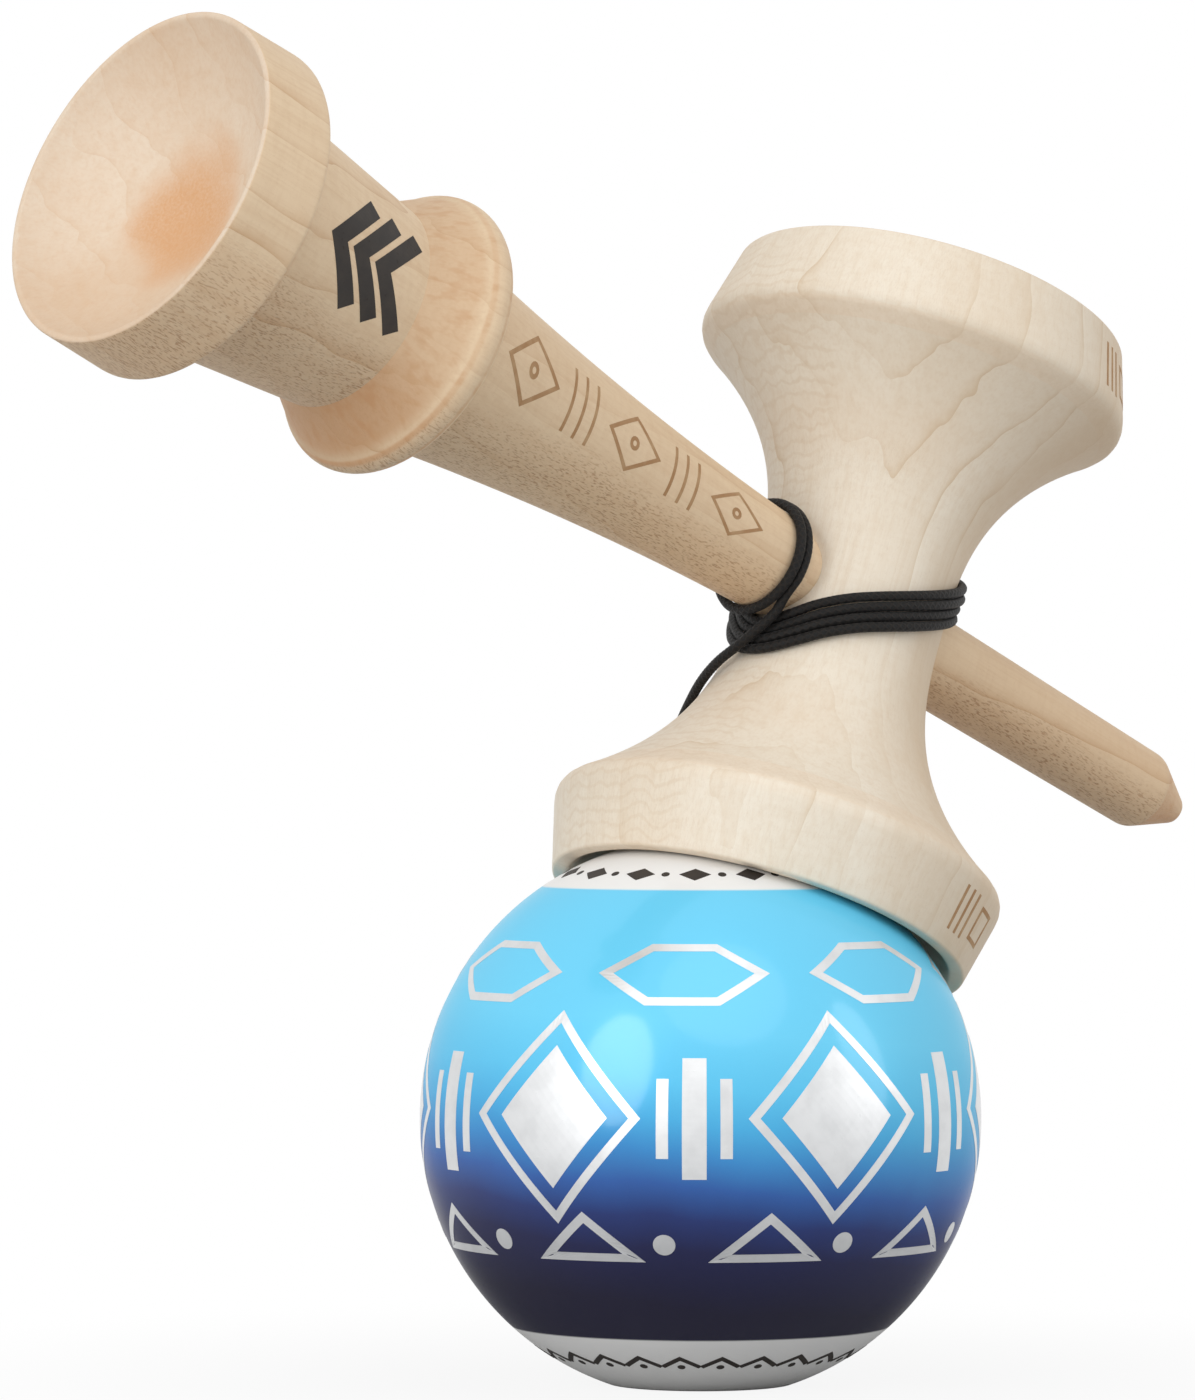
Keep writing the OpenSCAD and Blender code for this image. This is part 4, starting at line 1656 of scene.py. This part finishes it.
@dataclass(frozen=True)
class Studio:
    """The camera at the photograph's viewing angle, a pale floor and soft light."""

    camera_place: tuple[float, float, float] = (-11.19, -800.0, 74.26)
    focal_pixels: float = 7354.7
    frame_height: float = 1400.0
    sensor: float = 36.0
    world_light: float = 0.58
    floor_colour: Colour = (0.5, 0.5, 0.5)
    floor_glow: float = 0.9
    shadow_reach: Point = (0.02, 0.12)
    floor_size: float = 6000.0
    floor_drop: float = 0.05
    lamp_aim: tuple[float, float, float] = (0.0, 0.0, 0.07)

    def camera(self) -> None:
        """Makes the camera, level and looking along +Y."""
        data = bpy.data.cameras.new("camera")
        data.sensor_width = self.sensor
        data.lens = self.focal_pixels / self.frame_height * self.sensor
        data.clip_start, data.clip_end = 0.01, 50.0
        camera = bpy.data.objects.new("camera", data)
        camera.location = Vector(self.camera_place) * MM
        camera.rotation_euler = (math.radians(90.0), 0.0, 0.0)
        bpy.context.scene.collection.objects.link(camera)
        bpy.context.scene.camera = camera

    def world(self) -> None:
        """Lights all round, with a white background where it is seen or mirrored."""
        world = bpy.data.worlds.new("studio")
        world.use_nodes = True
        bpy.context.scene.world = world
        nodes = Nodes(world.node_tree)
        path = nodes.add("ShaderNodeLightPath")
        seen = nodes.most(path.outputs["Is Camera Ray"], path.outputs["Is Transmission Ray"])
        seen = nodes.most(seen, path.outputs["Is Glossy Ray"])
        strength = nodes.plus(nodes.times(seen, 1.0 - self.world_light), self.world_light)
        back = world.node_tree.nodes["Background"]
        back.inputs["Color"].default_value = (1.0, 1.0, 1.0, 1.0)
        world.node_tree.links.new(strength, back.inputs["Strength"])

    def floor(self) -> None:
        """A pale floor that keeps the shadow and fades into the background."""
        bm = bmesh.new()
        bmesh.ops.create_grid(bm, x_segments=1, y_segments=1, size=self.floor_size)
        floor = to_object(bm, "floor", Matrix.Translation((0.0, 0.0, -self.floor_drop)))
        material = bpy.data.materials.new("floor")
        material.use_nodes = True
        nodes = Nodes(material.node_tree)
        shader = material.node_tree.nodes["Principled BSDF"]
        nodes.feed(shader, "Base Color", (*self.floor_colour, 1.0))
        nodes.feed(shader, "Roughness", 0.9)
        path = nodes.add("ShaderNodeLightPath")
        glow = nodes.add("ShaderNodeEmission", {"Color": (1.0, 1.0, 1.0, 1.0), "Strength": 1.0})
        where = nodes.add("ShaderNodeTexCoord").outputs["Object"]
        distance = nodes.add("ShaderNodeVectorMath", {0: where}, operation="LENGTH").outputs["Value"]
        far = nodes.span(distance, *self.shadow_reach)
        share = nodes.plus(nodes.times(far, 1.0 - self.floor_glow), self.floor_glow)
        straight = nodes.times(path.outputs["Is Camera Ray"], share)
        shown = nodes.most(straight, nodes.times(path.outputs["Is Glossy Ray"], far))
        mixed = nodes.add("ShaderNodeMixShader", {0: shown, 1: shader.outputs[0], 2: glow.outputs[0]})
        out = material.node_tree.nodes["Material Output"]
        material.node_tree.links.new(mixed.outputs[0], out.inputs["Surface"])
        floor.data.materials.append(material)

    def lamp(self, name: str, place: tuple[float, float, float], size: Point, watts: float) -> None:
        """Makes one soft box that faces the object.

        Args:
            name: Its name.
            place: Where it stands, in metres.
            size: Its width and height in metres.
            watts: Its power.
        """
        data = bpy.data.lights.new(name, "AREA")
        data.shape = "ELLIPSE"
        data.size, data.size_y = size
        data.energy = watts
        lamp = bpy.data.objects.new(name, data)
        lamp.location = place
        way = Vector(self.lamp_aim) - Vector(place)
        lamp.rotation_euler = way.to_track_quat("-Z", "Y").to_euler()
        bpy.context.scene.collection.objects.link(lamp)

    def build(self) -> None:
        """Makes the whole studio."""
        self.camera()
        self.world()
        self.floor()
        self.lamp("key", (-0.60, -0.80, 0.42), (0.55, 0.85), 5.0)
        self.lamp("side", (0.85, -0.25, 0.35), (0.3, 0.7), 1.2)
        self.lamp("top", (0.15, -0.60, 0.90), (0.9, 0.9), 1.9)
        bpy.context.scene.view_settings.view_transform = "Standard"


def finishes(stance: Stance) -> dict[str, Material]:
    """Builds every finish.

    Args:
        stance: Where the wooden pieces stand, which settles their grain.

    Returns:
        The materials by name.
    """
    wood, speckle = wood_group(), speckle_group()
    woods = (
        WoodFinish("sarado_wood", place=stance.sarado_matrix(), curl_share=0.24),
        WoodFinish(
            # The ken's fleck and slope shares also set the painted shade on its underside
            "ken_wood", place=stance.ken_matrix(), pale=(0.81, 0.625, 0.42), ring=(0.58, 0.35, 0.18),
            end_grain=(0.62, 0.34, 0.165), face=(0.72, 0.60, 0.47), fleck=(0.42, 0.225, 0.11),
            pith=(-26.0, 30.0), ring_width=5.5, fleck_and_shade_share=0.75, slope_share=0.72, face_from=101.0,
            far_shade_share=0.0,
        ),
        WoodFinish(
            "bead_wood", pale=(0.58, 0.40, 0.22), ring=(0.42, 0.26, 0.13), end_grain=(0.46, 0.28, 0.14),
            ring_width=2.0,
        ),
    )
    films = (
        PaintFinish("paint", centre=stance.ball_centre),
        FilmFinish("foil", (0.71, 0.72, 0.73), (0.65, 0.66, 0.67), metal=0.8, rough=0.34, coat=0.4),
        FilmFinish("ink", (0.018, 0.013, 0.010), (0.030, 0.022, 0.016), rough=0.6),
        FilmFinish("scorch", (0.40, 0.22, 0.10), (0.50, 0.32, 0.17), rough=0.75),
    )
    looks = {finish.name: finish.build(wood) for finish in woods}
    looks |= {finish.name: finish.build(speckle) for finish in films}
    return looks | {"cord": CordFinish("cord").build()}


def main() -> None:
    """Builds the studio and every piece."""
    logging.basicConfig(level=logging.INFO, format="%(name)s %(message)s")
    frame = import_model()
    Studio().build()
    stance = Stance()
    maker = Maker(stance, finishes(stance), ring_of_copies())
    sarado, ken = Sarado(maker), Ken(maker)
    Cord(maker, sarado, ken).build()
    Tama(maker).build()
    sarado.build()
    ken.build()
    Bead(maker, frame["nodes"]["bead"]).build()


if __name__ == "__main__":
    main()
